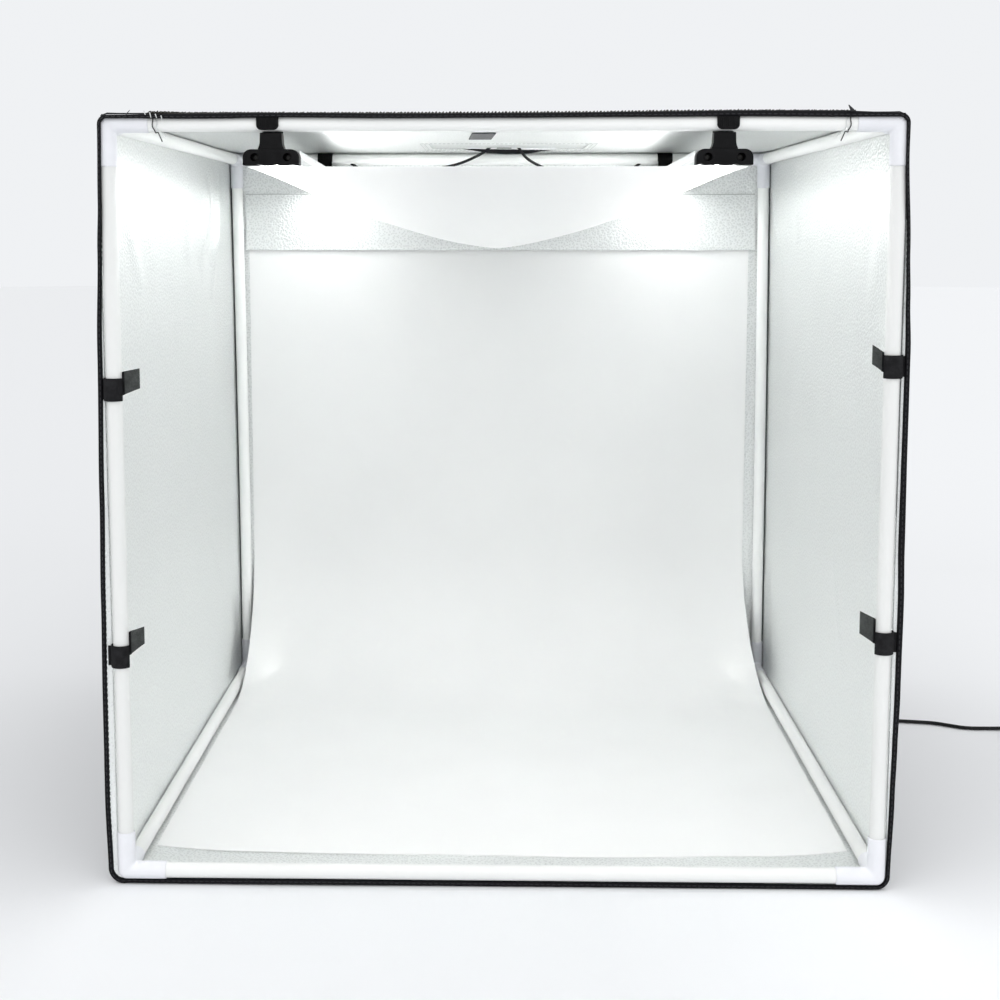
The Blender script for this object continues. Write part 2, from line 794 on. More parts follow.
def spline_route(points):
    """Reads points from a smooth curve through the route, more where it bends; its end spans are straight."""
    route = [Vector(p) for p in points]
    ends = [route[0] * 2 - route[1], *route, route[-1] * 2 - route[-2]]
    read = [route[0]]
    for i in range(1, len(ends) - 2):
        before, start, end, after = ends[i - 1 : i + 3]
        turn = math.degrees((end - before).angle(after - start))
        straight = i in (1, len(ends) - 3)
        steps = 1 if straight else max(2, math.ceil(turn / BEND_STEP_DEG))
        for k in range(1, steps + 1):
            t = k / steps
            bend = (2 * before - 5 * start + 4 * end - after) * t * t
            twist = (3 * start - before - 3 * end + after) * t**3
            read.append((2 * start + (end - before) * t + bend + twist) / 2)
    return read


def length_of(points):
    return sum((b - a).length for a, b in zip(points, points[1:]))


def coil_points():
    """The coil's centreline: in along the table for half its turns, up one layer, and out again."""
    outermost = COIL_MIDDLE_RADIUS + COIL_PITCH * COIL_TURNS / 4
    centre = Vector((COIL_CENTRE_X, Y_FRONT + COIL_START_FROM_FRONT - outermost, 0))
    half_way = COIL_TURNS / 2
    points = []
    count = round(COIL_TURNS * COIL_POINTS_PER_TURN)
    for i in range(count + 1):
        turn = COIL_TURNS * i / count
        radius = outermost - COIL_PITCH * min(turn, COIL_TURNS - turn)
        rise = min(1, max(0, (turn - half_way) * 2 + 0.5))
        layer = rise * rise * (3 - 2 * rise)
        angle = math.pi / 2 - 2 * math.pi * turn
        height = CORD_HEIGHT + COIL_PITCH * layer
        points.append(centre + Vector((radius * math.cos(angle), radius * math.sin(angle), height)))
    first = points[0] - Vector((DC_LEAD_DIAMETER, 0, 0))
    last = points[-1] - Vector((0, DC_LEAD_DIAMETER, 0))
    return [first, *points, last]


def dc_route():
    """The lead to the adapter: over the roof's rear edge, down the back, along the table, coil, adapter."""
    splitter = middle("lead_splitter")
    exit_point = Vector((splitter.x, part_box("lead_splitter")[1].y + GAP, splitter.z))
    near = 4 * DC_LEAD_DIAMETER - EDGE_STAND_OFF
    clear = DC_LEAD_DIAMETER / 2 + 2 * GAP
    stub = Vector((2 * DC_LEAD_DIAMETER, 0, 0))
    over_edge = [
        exit_point,
        exit_point + Vector((0, 2 * DC_LEAD_DIAMETER, 0)),
        Vector((splitter.x, BACK_SKIN - near, ROOF + EDGE_STAND_OFF)),
        Vector((splitter.x, BACK_SKIN + clear, ROOF + clear)),
        Vector((splitter.x, BACK_SKIN + EDGE_STAND_OFF, ROOF - near)),
    ]
    down = [Vector((x, BACK_SKIN + y, z)) for x, y, z in BACK_POINTS]
    along = [Vector((x, Y_FRONT + y, CORD_HEIGHT)) for x, y in TABLE_POINTS]
    coil = coil_points()
    meet = coil[0] - Vector((GAP, 0, 0))
    route = spline_route([*over_edge, *down, *along, meet - stub, meet])
    leave = coil[-1] - Vector((0, GAP, 0))
    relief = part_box("adapter_strain_relief")
    relief_tip = Vector((leave.x, relief[1].y + GAP, middle("adapter_strain_relief").z))
    end_stub = Vector((0, 2 * DC_LEAD_DIAMETER, 0))
    tail = spline_route([leave, leave - end_stub, relief_tip + end_stub, relief_tip])
    return [*route, *coil, *tail]


def led_route(word, side):
    """One bar's lead: from the rear cap's spout, in a sag, up through the slit to the splitter."""
    lead_low, lead_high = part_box(f"led_lead_{word}")
    spout_x = lead_low.x if side < 0 else lead_high.x
    spout_z = (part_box(f"led_housing_{word}")[1].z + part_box(f"led_rear_cap_{word}")[1].z) / 2
    splitter = middle("lead_splitter")
    entry_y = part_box("lead_splitter")[0].y - GAP
    entry = Vector((splitter.x + side * LEAD_ENTRY_SPREAD, entry_y, splitter.z))
    start = Vector((spout_x, Y_REAR, spout_z))
    on_roof = ROOF + GAP + LED_LEAD_DIAMETER / 2
    slit = Vector((splitter.x + side * SLIT_SPREAD, Y_REAR - SLIT_FROM_REAR, Z_HIGH + INNER))
    points = [start, start - Vector((side * 3 * LED_LEAD_DIAMETER, 0, 0))]
    points += [Vector((x, Y_REAR - y, Z_HIGH + z)) for x, y, z in LEAD_POINTS[word]]
    points += [
        slit,
        Vector((slit.x, slit.y + LED_LEAD_DIAMETER, on_roof)),
        entry - Vector((0, 3 * LED_LEAD_DIAMETER, 0)),
        entry,
    ]
    return spline_route(points)


# Inner faces of the cover's panels
WALL = HALF + INNER
CEILING = ROOF - FABRIC
BACK = BACK_SKIN - FABRIC

# Tubes, connectors
TUBE_WALL = 0.0010
TUBE_SIDES = 48
CONNECTOR_RADIUS = 0.0070
CONNECTOR_LEG = 0.0320
SOCKET_DEPTH = 0.0215

# Creases of the side walls: start and end as (y, z), height, half width
CREASES = {
    "left": [
        ((0.195, 0.598), (0.105, 0.470), 0.0042, 0.016),
        ((0.145, 0.600), (0.190, 0.500), -0.0036, 0.012),
        ((0.235, 0.600), (0.165, 0.440), 0.0034, 0.009),
        ((0.290, 0.570), (0.160, 0.480), 0.0026, 0.011),
        ((0.060, 0.600), (0.045, 0.480), 0.0020, 0.016),
        ((-0.225, 0.550), (-0.150, 0.460), 0.0018, 0.012),
        ((-0.005, 0.330), (0.300, 0.020), 0.0016, 0.006),
        ((-0.260, 0.160), (-0.120, 0.030), 0.0014, 0.018),
    ],
    "right": [
        ((0.295, 0.560), (0.205, 0.465), 0.0020, 0.006),
        ((-0.060, 0.220), (-0.120, 0.110), 0.0014, 0.006),
        ((0.180, 0.598), (0.130, 0.500), 0.0016, 0.016),
        ((-0.250, 0.560), (-0.170, 0.430), 0.0016, 0.020),
        ((0.250, 0.140), (0.295, 0.030), -0.0024, 0.016),
    ],
}

# Roof window, slit and flap
flap_low, flap_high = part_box("roof_window_flap")
FLAP_LAP = 0.012
WINDOW_X = (flap_low.x + flap_high.x) / 2
WINDOW_HALF = (flap_high.x - flap_low.x) / 2 - FLAP_LAP
WINDOW_FRONT = flap_low.y + FLAP_LAP
WINDOW_REAR = flap_high.y - FLAP_LAP
SLIT_WIDTH = 0.097
SLIT_OPENING = 0.008
LIP_DROP = 0.0046
PATCH_LEAN = 0.0044
ROOF_SAG = 0.0006
RAIL_HUG = 0.0160
# How far the roof's front edge lies below its corners: share from the left, metres
ROOF_FRONT = [
    (0.0, 0.0), (0.03, 0.0005), (0.07, 0.0005), (0.12, 0.0012), (0.37, 0.0014), (0.60, 0.0010),
    (0.72, 0.0003), (0.80, 0.0), (0.94, 0.0004), (0.97, 0.0004), (1.0, 0.0),
]

# Ends of the row of stitches behind the window, and steps along a row
HEM_STITCHES = ((-0.094, 0.270), (0.087, 0.270))
STITCH_STEPS = 24

# Cells of the panels' sheets, depth of the flat panels' unevenness, and the seams' piping
WALL_CELL = 0.0045
ROOF_CELL = 0.007
PANEL_CELL = 0.008
FLAT_SAG = 0.0005
PIPING = 0.0028

# Binding: points round its roll, steps along each side and round each corner
ROLL_SIDES = 16
SIDE_STEPS = 96
CORNER_STEPS = 8

# One hook: share of its height, half thickness, share of its lean
HOOK_ROWS = [(0.0, 0.00055, 0.0), (0.5, 0.00048, 0.2), (0.85, 0.00036, 0.6), (1.0, 0.00014, 1.1)]

# Front hook tape: thickness of its base and where its hooks end
HOOK_BASE = 0.0004
HOOK_END = 0.2620

# Bars
BAR_TOP = Z_HIGH - 0.0070
STEM_HEIGHT = 0.0121
STEM_WIDTH = 0.0175
PLATE_TOP = BAR_TOP - STEM_HEIGHT
plate_low, plate_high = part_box("led_front_cap_left")
PLATE_BOTTOM = plate_low.z
PLATE_WIDTH = plate_high.x - plate_low.x
PLATE_FRONT = 0.0068
PLATE_BACK = 0.0070
STEM_FRONT = 0.0055
CLIP_RADIUS = TUBE_RADIUS + GAP + 0.0010
TAB_WIDTH = 0.0165
TAB_THICK = 0.0016
SCREW_SPREAD = 0.0122
SCREW_HEAD_RADIUS = 0.0026
COUNTERBORE_DEPTH = 0.0090
TAB_LEAN = 0.0021
# Side of a front cap and places of the scallops in its lower edge
CAP_FACE = {"left": (-1, (-0.0087, 0.0031, 0.0157)), "right": (1, (-0.0174, -0.0045, 0.0085))}

# Diffuser and backdrop
DIFFUSER_THICK = 0.0006
DIFFUSER_SAG = 0.0630
DIFFUSER_LAP = 0.0190
DIFFUSER_MARGIN = 0.010
BACKDROP_THICK = 0.0008
SWEEP_RADIUS = 0.150


def eased(share):
    """0 to 1, level at both ends."""
    share = clamped(share)
    return share * share * (3 - 2 * share)


def lifted(u, edge=0.08):
    """0 at both ends of 0 to 1 and 1 between them, eased over edge at each end."""
    return eased(min(u, 1 - u) / edge)


def read_keys(keys, t):
    """Reads eased values between keys, each a share and its values."""
    for (start, *first), (end, *second) in zip(keys, keys[1:]):
        if t <= end:
            mix = eased((t - start) / (end - start))
            return [a + (b - a) * mix for a, b in zip(first, second)]
    return list(keys[-1][1:])


def crease(place, start, end, height, width):
    """Height at a place of a soft crease between two points, fading at both."""
    start, run = Vector(start), Vector(end) - Vector(start)
    along = (Vector(place) - start).dot(run) / run.length_squared
    if not 0 < along < 1:
        return 0.0
    across = abs((Vector(place) - start).cross(run)) / run.length
    return height * math.sin(math.pi * along) ** 0.7 * math.exp(-((across / width) ** 2))


def soft(x, y, seed):
    """Gentle unevenness from about -1 to 1 over a few centimetres."""
    broad = noise.noise(Vector((x * 6.0, y * 6.0, seed)))
    return broad + 0.35 * noise.noise(Vector((x * 19.0, y * 19.0, seed + 5)))


def clear_run(y):
    """1 along a rail in depth, 0 at its connectors."""
    least = CONNECTOR_LEG + 0.004
    return eased((y - Y_FRONT - least) / 0.03) * eased((Y_REAR - least - y) / 0.03)


def roof_sag(x, y):
    """How far the roof hangs below its seams."""
    u = (x + WALL) / (2 * WALL)
    v = (y - PANEL_FRONT) / (BACK - PANEL_FRONT)
    front = read_keys(ROOF_FRONT, u)[0] * (1 - eased(v / 0.10))
    near_rail = math.exp(-(((abs(x) - HALF) / RAIL_HUG) ** 2)) * clear_run(y)
    hug = (CEILING - Z_HIGH - TUBE_RADIUS - 0.0005) * near_rail
    return front + hug + lifted(u, 0.3) * lifted(v, 0.3) * ROOF_SAG * (1 + 0.35 * soft(x, y, 3.0))


def shares(low, high, step, marks=()):
    """Places from low to high about step apart, with every mark among them."""
    stops = sorted({low, high, *(m for m in marks if low < m < high)})
    found = [low]
    for a, b in zip(stops, stops[1:]):
        count = max(1, round((b - a) / step))
        found += [a + (b - a) * (k + 1) / count for k in range(count)]
    return found


# A sheet whose area is under this share of its outline has openings
FULL_AREA = 0.98


def cloth(bm, us, vs, surface, grow, keep=None, finishes=(1, 0), rim=None):
    """Adds a thin sheet: surface(u, v) is its one face, and grow, added to it, the other.

    Cells for which keep is false stay open. The outer edges take the finish rim, or else the near face's.
    Returns its flat width, length and area.
    """
    uv = bm.loops.layers.uv.verify()
    near, cut = {}, {}
    for i, u in enumerate(us):
        for j, v in enumerate(vs):
            near[i, j] = Vector(surface(u, v))
    mid_i, mid_j = len(us) // 2, len(vs) // 2
    across, along = [0.0], [0.0]
    for i in range(1, len(us)):
        across.append(across[-1] + (near[i, mid_j] - near[i - 1, mid_j]).length)
    for j in range(1, len(vs)):
        along.append(along[-1] + (near[mid_i, j] - near[mid_i, j - 1]).length)
    verts = ({}, {})

    def vert(side, i, j):
        if (i, j) not in verts[side]:
            offset = grow(us[i], vs[j]) if callable(grow) else grow
            made = bm.verts.new(near[i, j] + Vector(offset) * side)
            verts[side][i, j] = made
            cut[made] = (across[i], along[j])
        return verts[side][i, j]

    def face(corners, index):
        made = bm.faces.new(corners)
        made.material_index = index
        made.smooth = True
        for loop in made.loops:
            loop[uv].uv = cut[loop.vert]
        return made

    open_edges = {}
    area = 0.0
    for i in range(len(us) - 1):
        for j in range(len(vs) - 1):
            if keep and not keep((us[i] + us[i + 1]) / 2, (vs[j] + vs[j + 1]) / 2):
                continue
            ring = [(i, j), (i + 1, j), (i + 1, j + 1), (i, j + 1)]
            area += face([vert(0, *c) for c in ring], finishes[0]).calc_area()
            face([vert(1, *c) for c in reversed(ring)], finishes[1])
            for a, b in zip(ring, ring[1:] + ring[:1]):
                if (b, a) in open_edges:
                    del open_edges[b, a]
                else:
                    open_edges[a, b] = True
    for a, b in open_edges:
        outer = a[0] == b[0] in (0, len(us) - 1) or a[1] == b[1] in (0, len(vs) - 1)
        index = rim if outer and rim is not None else finishes[0]
        face([vert(0, *b), vert(0, *a), vert(1, *a), vert(1, *b)], index)
    return across[-1], along[-1], area


def sewn(name, grid, surface, grow, finishes, where, nodes=(), keep=None, rim=None):
    """Publishes a sheet made by cloth() on a body and in a slot, and returns it with its flat cut."""
    bm = bmesh.new()
    faces = (1, 0) if len(finishes) > 1 else (0, 0)
    cut = cloth(bm, *grid, surface, grow, keep, faces, rim)
    return publish(name, bm, finishes, *where, nodes), cut


def declare(made, cut):
    """Declares a piece made by cloth() as a sheet of that flat cut."""
    width, length, area = cut
    flat = (round(width, 4), round(length, 4))
    area < FULL_AREA * flat[0] * flat[1]
    return made


def bridge(bm, rings, closed=False):
    """Adds the faces between rings of vertices."""
    for a, b in zip(rings, rings[1:] + (rings[:1] if closed else [])):
        for k in range(len(a)):
            bm.faces.new((a[k - 1], a[k], b[k], b[k - 1])).smooth = True


def lathe(bm, profile, origin, direction, sides=32, closed=False):
    """Adds a profile of (distance along, radius) turned round an axis."""
    origin = Vector(origin)
    turn = Vector((0, 0, 1)).rotation_difference(Vector(direction)).to_matrix()
    rings = []
    for along, radius in profile:
        angles = [2 * math.pi * k / sides for k in range(sides)]
        places = [Vector((radius * math.cos(a), radius * math.sin(a), along)) for a in angles]
        rings.append([bm.verts.new(origin + turn @ p) for p in places])
    bridge(bm, rings, closed)
    if not closed:
        bm.faces.new(list(reversed(rings[0])))
        bm.faces.new(rings[-1])
    return bm


def walk(points, distance):
    """The point at a distance along a line of points."""
    for a, b in zip(points, points[1:]):
        step = (b - a).length
        if distance <= step:
            return a.lerp(b, distance / step)
        distance -= step
    return points[-1]


def stitch(bm, points, thick=0.0006):
    """Adds a row of stitches along a line of points."""
    points = [Vector(p) for p in points]
    long, space = sizes().stitch_length, sizes().stitch_space
    total = length_of(points)
    count = int(total / (long + space))
    for k in range(count):
        start = walk(points, k * (long + space) + space / 2)
        end = walk(points, k * (long + space) + space / 2 + long)
        run = end - start
        profile = [(0, thick * 0.15), (run.length * 0.15, thick / 2)]
        profile += [(run.length * 0.85, thick / 2), (run.length, thick * 0.15)]
        lathe(bm, profile, start, run, 6)
    return bm


def spaced(start, end, count):
    """Points from start to end in count equal steps."""
    return [start.lerp(end, k / count) for k in range(count + 1)]


def relaxed(points, spacing, times):
    """Points spaced evenly along a line and pulled smooth, both ends and their runs kept."""
    total = length_of(points)
    count = max(4, round(total / spacing))
    line = [walk(points, total * k / count) for k in range(count + 1)]
    for _ in range(times):
        inner = [(line[k - 1] + line[k] * 2 + line[k + 1]) / 4 for k in range(2, count - 1)]
        line = [*line[:2], *inner, *line[-2:]]
    return line


class LIGHT_TENT_OT_frame(bpy.types.Operator):
    """Makes the twelve tubes and the eight corner connectors"""

    bl_idname = "light_tent.frame"
    bl_label = "Frame"

    def execute(self, context):
        rows = [("post", "front", "z"), ("post", "rear", "z"), ("depth_rail", "bottom", "y")]
        rows += [("depth_rail", "top", "y"), ("width_rail", "bottom", "x"), ("width_rail", "top", "x")]
        for kind, place, axis in rows:
            for word in ("front", "rear") if kind == "width_rail" else ("left", "right"):
                self.tube(f"{kind}_{place}_{word}", "xyz".index(axis))
        shape, finish = self.corner(), plain_finish("connector_plastic")
        for x_name, x in (("left", -HALF), ("right", HALF)):
            for y_name, y in (("front", Y_FRONT), ("rear", Y_REAR)):
                for z_name, z in (("bottom", Z_LOW), ("top", Z_HIGH)):
                    node = f"corner_connector_{y_name}_{z_name}_{x_name}"
                    signs = (-math.copysign(1, x), 1 if y == Y_FRONT else -1, 1 if z == Z_LOW else -1)
                    bm = bmesh.new()
                    bm.from_mesh(shape)
                    bmesh.ops.scale(bm, vec=signs, verts=bm.verts)
                    bmesh.ops.translate(bm, vec=(x, y, z), verts=bm.verts)
                    publish(f"{node}_moulding", bm, [finish], "tent", "connector_white", [node])
        bpy.data.meshes.remove(shape)
        return {"FINISHED"}

    def tube(self, node, axis):
        """A hollow tube with softened ends."""
        low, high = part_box(node)
        start, end = (low + high) / 2, (low + high) / 2
        start[axis], end[axis] = low[axis], high[axis]
        length, soft_edge, rows = (end - start).length, 0.0003, 24
        bore = TUBE_RADIUS - TUBE_WALL
        along = [soft_edge + (length - 2 * soft_edge) * k / rows for k in range(rows + 1)]
        profile = [(0, bore), (0, TUBE_RADIUS - soft_edge), *[(a, TUBE_RADIUS) for a in along]]
        profile += [(length, TUBE_RADIUS - soft_edge), (length, bore)]
        bm = lathe(bmesh.new(), profile, start, end - start, TUBE_SIDES, closed=True)
        publish(f"{node}_tube", bm, [tube_finish()], "tent", "tube_white", [node])

    def corner(self):
        """One connector at the origin, its three legs along +x, +y and +z."""
        legs = [Vector((1, 0, 0)), Vector((0, 1, 0)), Vector((0, 0, 1))]
        bm = bmesh.new()
        bmesh.ops.create_uvsphere(bm, u_segments=32, v_segments=24, radius=CONNECTOR_RADIUS)
        for leg in legs:
            bm = combined(bm, rod((0, 0, 0), leg * CONNECTOR_LEG, CONNECTOR_RADIUS, TUBE_SIDES), "UNION")
        solid = loose(bm)
        remesh = solid.modifiers.new("even", "REMESH")
        remesh.mode = "VOXEL"
        remesh.voxel_size = 0.00085
        smooth = solid.modifiers.new("soft", "CORRECTIVE_SMOOTH")
        smooth.use_only_smooth = True
        smooth.iterations = 5
        smooth.factor = 0.5
        bm = mesh_of(solid)
        for leg in legs:
            floor = leg * (CONNECTOR_LEG - SOCKET_DEPTH)
            bore = rod(floor, leg * (CONNECTOR_LEG + CUT), TUBE_RADIUS + GAP, TUBE_SIDES)
            bm = combined(bm, bore, "DIFFERENCE")
        mesh = bpy.data.meshes.new("corner")
        bm.to_mesh(mesh)
        bm.free()
        return mesh


def wall_bulge(word, side, y, z):
    """How far the lining of a side wall swells inwards."""
    u = (y - PANEL_FRONT) / (BACK - PANEL_FRONT)
    v = (z - FLOOR_TOP) / (CEILING - FLOOR_TOP)
    folds = sum(crease((y, z), *line) for line in CREASES[word])
    near_rail = max(math.exp(-(((z - rail) / RAIL_HUG) ** 2)) for rail in (Z_LOW, Z_HIGH)) * clear_run(y)
    hug = (INNER - TUBE_RADIUS - 0.0006) * near_rail
    swell = lifted(u) * lifted(v, 0.05) * (sizes().wrinkle_depth * soft(y, z, side * 3.1) + folds)
    return hug + swell * (1 - near_rail)


class LIGHT_TENT_OT_cover(bpy.types.Operator):
    """Sews the cover: floor, side walls, back and roof, with seams, binding and hook tapes"""

    bl_idname = "light_tent.cover"
    bl_label = "Cover"

    def execute(self, context):
        for word, side in SIDES:
            self.side_wall(word, side)
        self.floor()
        self.back()
        self.roof()
        self.seams()
        self.binding()
        self.hook_tape()
        self.patch()
        self.threads()
        return {"FINISHED"}

    def panel(self, name, grid, surface, grow, node, held_by, keep=None):
        """One big panel, black outside and silver inside."""
        finishes, where = [cover_finish(), liner_finish()], ("tent", "cover_fabric")
        rim = 0 if keep else None
        made, cut = sewn(name, grid, surface, grow, finishes, where, [node], keep, rim)
        declare(made, cut)

    def side_wall(self, word, side):
        def surface(y, z):
            return (side * (WALL - wall_bulge(word, side, y, z)), y, z)

        ys = shares(PANEL_FRONT, BACK - GAP, WALL_CELL)
        zs = shares(FLOOR_TOP + GAP, CEILING - GAP, WALL_CELL)
        grow, held_by = (side * FABRIC, 0, 0), "corner_connector_front_top_left_moulding"
        self.panel(f"side_wall_{word}", (ys, zs), surface, grow, f"cover_side_{word}", held_by)

    def floor(self):
        def surface(x, y):
            u, v = (x + WALL) / (2 * WALL), (y - PANEL_FRONT) / (BACK - PANEL_FRONT)
            return (x, y, FLOOR_TOP - FLAT_SAG * lifted(u) * lifted(v) * (1 + soft(x, y, 11.0)))

        grid = shares(-WALL, WALL, PANEL_CELL), shares(PANEL_FRONT, BACK, PANEL_CELL)
        grow, held_by = (0, 0, -FABRIC), "width_rail_bottom_front_tube"
        self.panel("floor_panel", grid, surface, grow, "cover_floor", held_by)

    def back(self):
        def surface(x, z):
            u, v = (x + WALL) / (2 * WALL), (z - FLOOR_TOP) / (CEILING - FLOOR_TOP)
            return (x, BACK + FLAT_SAG * lifted(u) * lifted(v) * (1 + soft(x, z, 17.0)), z)

        grid = shares(-WALL, WALL, PANEL_CELL), shares(FLOOR_TOP + GAP, CEILING, PANEL_CELL)
        self.panel("back_panel", grid, surface, (0, FABRIC, 0), "cover_back", "width_rail_top_rear_tube")

    def roof(self):
        """The roof with its window, the stitches round it and the lip of the cable slit."""
        left, right = WINDOW_X - WINDOW_HALF, WINDOW_X + WINDOW_HALF

        def surface(x, y):
            return (x, y, CEILING - roof_sag(x, y))

        def keep(x, y):
            return not (left < x < right and WINDOW_FRONT < y < WINDOW_REAR)

        xs = shares(-WALL, WALL, ROOF_CELL, (left, right))
        ys = shares(PANEL_FRONT, BACK - GAP, ROOF_CELL, (WINDOW_FRONT, WINDOW_REAR))
        grow = (0, 0, FABRIC)
        self.panel("roof_panel", (xs, ys), surface, grow, "cover_top", "width_rail_top_front_tube", keep)
        lines = [[Vector(end) for end in HEM_STITCHES]]
        for inset in (0.004, 0.008):
            a, b = left - inset, right + inset
            c, d = WINDOW_FRONT - inset, WINDOW_REAR + inset
            corners = [Vector(corner) for corner in ((a, c), (b, c), (b, d), (a, d))]
            lines += zip(corners, corners[1:] + corners[:1])
        bm = bmesh.new()
        for start, end in lines:
            stitch(bm, [surface(p.x, p.y) for p in spaced(start, end, STITCH_STEPS)], 0.0007)
        publish("window_stitches", bm, [thread_finish(False)], "tent", "cover_fabric")
        half = SLIT_WIDTH / 2

        def hanging(x, v):
            share = 1 - ((x - WINDOW_X) / half) ** 2
            top = 0.0004 * soft(x * 9, 1.0, 2.0)
            drop = LIP_DROP * share**1.2 * (1 + 0.12 * soft(x * 7, 4.0, 8.0)) + 0.0001
            y = WINDOW_REAR - 0.004 + 0.0014 * v + 0.013 * (x - WINDOW_X) / half
            return (x, y, CEILING - roof_sag(x, y) + top - drop * v)

        grid = shares(WINDOW_X - half, WINDOW_X + half, 0.0016), [k / 5 for k in range(6)]
        sewn("cable_slit_lip", grid, hanging, (0, 0.0009, 0), [binding_finish()], ("tent", "binding"))

    def seams(self):
        """Taped seams outside the cover's edges, and dark seam allowance inside its upright rear corners."""
        bm = bmesh.new()
        skin, low, high = HALF + SKIN, FLOOR_TOP - FABRIC, ROOF
        rear = [(-skin, low), (-skin, high), (skin, high), (skin, low)]
        lines = [[Vector((x, BACK_SKIN, z)) for x, z in rear]]
        for x, z in ((-skin, low), (-skin, high), (skin, low), (skin, high)):
            lines.append([Vector((x, y, z)) for y in (PANEL_FRONT + 0.006, BACK_SKIN)])
        lines.append([Vector((x, BACK_SKIN, low)) for x in (-skin, skin)])
        for line in lines:
            inset = [Vector((p.x * 0.9985, min(p.y, BACK_SKIN - 0.0005), max(p.z, 0.0016))) for p in line]
            points = []
            for a, b in zip(inset, inset[1:]):
                count = max(2, int((b - a).length / 0.012))
                points += [a.lerp(b, k / count) for k in range(count)]
            points.append(inset[-1])
            ruffles = [(soft(p.y, p.z, 21.0), soft(p.x, p.z, 22.0), 0) for p in points]
            ruffled = [p + Vector(ruffle) * 0.0004 for p, ruffle in zip(points, ruffles)]
            join(bm, line_mesh(ruffled, PIPING, resolution=3))
        publish("cover_seam_piping", bm, [binding_finish()], "tent", "binding")
        for word, side in SIDES:
            self.corner_seam(word, side)

    def corner_seam(self, word, side):
        """The dark seam allowance that shows beside a rear post, narrower towards the floor."""

        def surface(u, z):
            share = (z - FLOOR_TOP) / (CEILING - FLOOR_TOP)
            width = 0.0062 + 0.0030 * share + 0.0008 * soft(z, side, 31.0)
            y = BACK - GAP - width * (1 - u)
            return (side * (WALL - GAP - max(0.0, wall_bulge(word, side, y, z))), y, z)

        grid = [k / 4 for k in range(5)], shares(FLOOR_TOP + 0.004, CEILING - 0.002, 0.006)
        finishes = [pile_finish("seam_allowance_cloth")]
        sewn(f"corner_seam_{word}", grid, surface, (-side * 0.0003, 0, 0), finishes, ("tent", "binding"))

    def binding(self):
        """The rolled binding round the open front, which wanders off the tubes, and its stitching."""
        ring = binding_ring()
        bm = bmesh.new()
        sections = []
        for place, outward, half in ring:
            section = []
            for k in range(ROLL_SIDES):
                angle = 2 * math.pi * k / ROLL_SIDES
                a, b = (math.copysign(abs(s) ** 0.7, s) for s in (math.cos(angle), math.sin(angle)))
                a, b = a * half, b * BINDING_DEPTH / 2
                fuzz = 1 + 0.05 * soft(place.x * 5, place.z * 5, k * 0.3)
                section.append(bm.verts.new(place + outward * a * fuzz + Vector((0, b, 0))))
            sections.append(section)
        bridge(bm, sections, closed=True)
        publish("binding_roll", bm, [binding_finish()], "tent", "binding", ["front_edge_binding"])
        seam = bmesh.new()
        ahead = Vector((0, -BINDING_DEPTH * 0.49, 0))
        line = [place - outward * half * 0.25 + ahead for place, outward, half in ring]
        stitch(seam, [*line, line[0]], 0.0007)
        publish("binding_stitches", seam, [thread_finish(True)], "tent", "binding")
        flange = bmesh.new()
        rings = []
        for share in (0.0, 0.5, 1.0):
            row = []
            for place, outward, _ in ring:
                axis = nearest_axis(place)
                off = Vector((place.x - axis.x, 0, place.z - axis.z)).length
                inner = axis + outward * min(INNER + 0.0001, off)
                spot = inner.lerp(place, share)
                spot.y = Y_FRONT + 0.0012 - 0.0012 * share
                row.append(flange.verts.new(spot))
            rings.append(row)
        bridge(flange, rings)
        bmesh.ops.recalc_face_normals(flange, faces=flange.faces)
        bmesh.ops.solidify(flange, geom=list(flange.faces), thickness=0.0006)
        publish("front_seam_allowance", flange, [liner_finish(False)], "tent", "liner")
        fold = bmesh.new()
        for k in range(12):
            low, high = 0.560 - 0.022 * k, 0.560 - 0.022 * (k + 1)
            ends = [(HALF + TUBE_RADIUS + 0.0005, Y_FRONT - 0.0004, z) for z in (low, high)]
            join(fold, rod(ends[0], ends[1], 0.0006 - 0.00003 * k, 8, 0.0006 - 0.00003 * (k + 1)))
        publish("seam_allowance_fold", fold, [pile_finish("seam_allowance_cloth")], "tent", "liner")
        dots = bmesh.new()
        line = [nearest_axis(p).lerp(p, 0.86) for p, _, _ in ring]
        line = [Vector((p.x, Y_FRONT - 0.0006, p.z)) for p in line]
        stitch(dots, line, 0.0006)
        publish("seam_allowance_stitches", dots, [thread_finish(True)], "tent", "binding")

    def hook_tape(self):
        """The toothed tape along the roof's front edge."""
        low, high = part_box("front_hook_tape")

        def surface(x, y):
            ahead = max(0.0, PANEL_FRONT - y) / (PANEL_FRONT - low.y)
            return (x, y, ROOF + 0.0001 - roof_sag(x, max(y, PANEL_FRONT)) - 0.0010 * ahead**1.5)

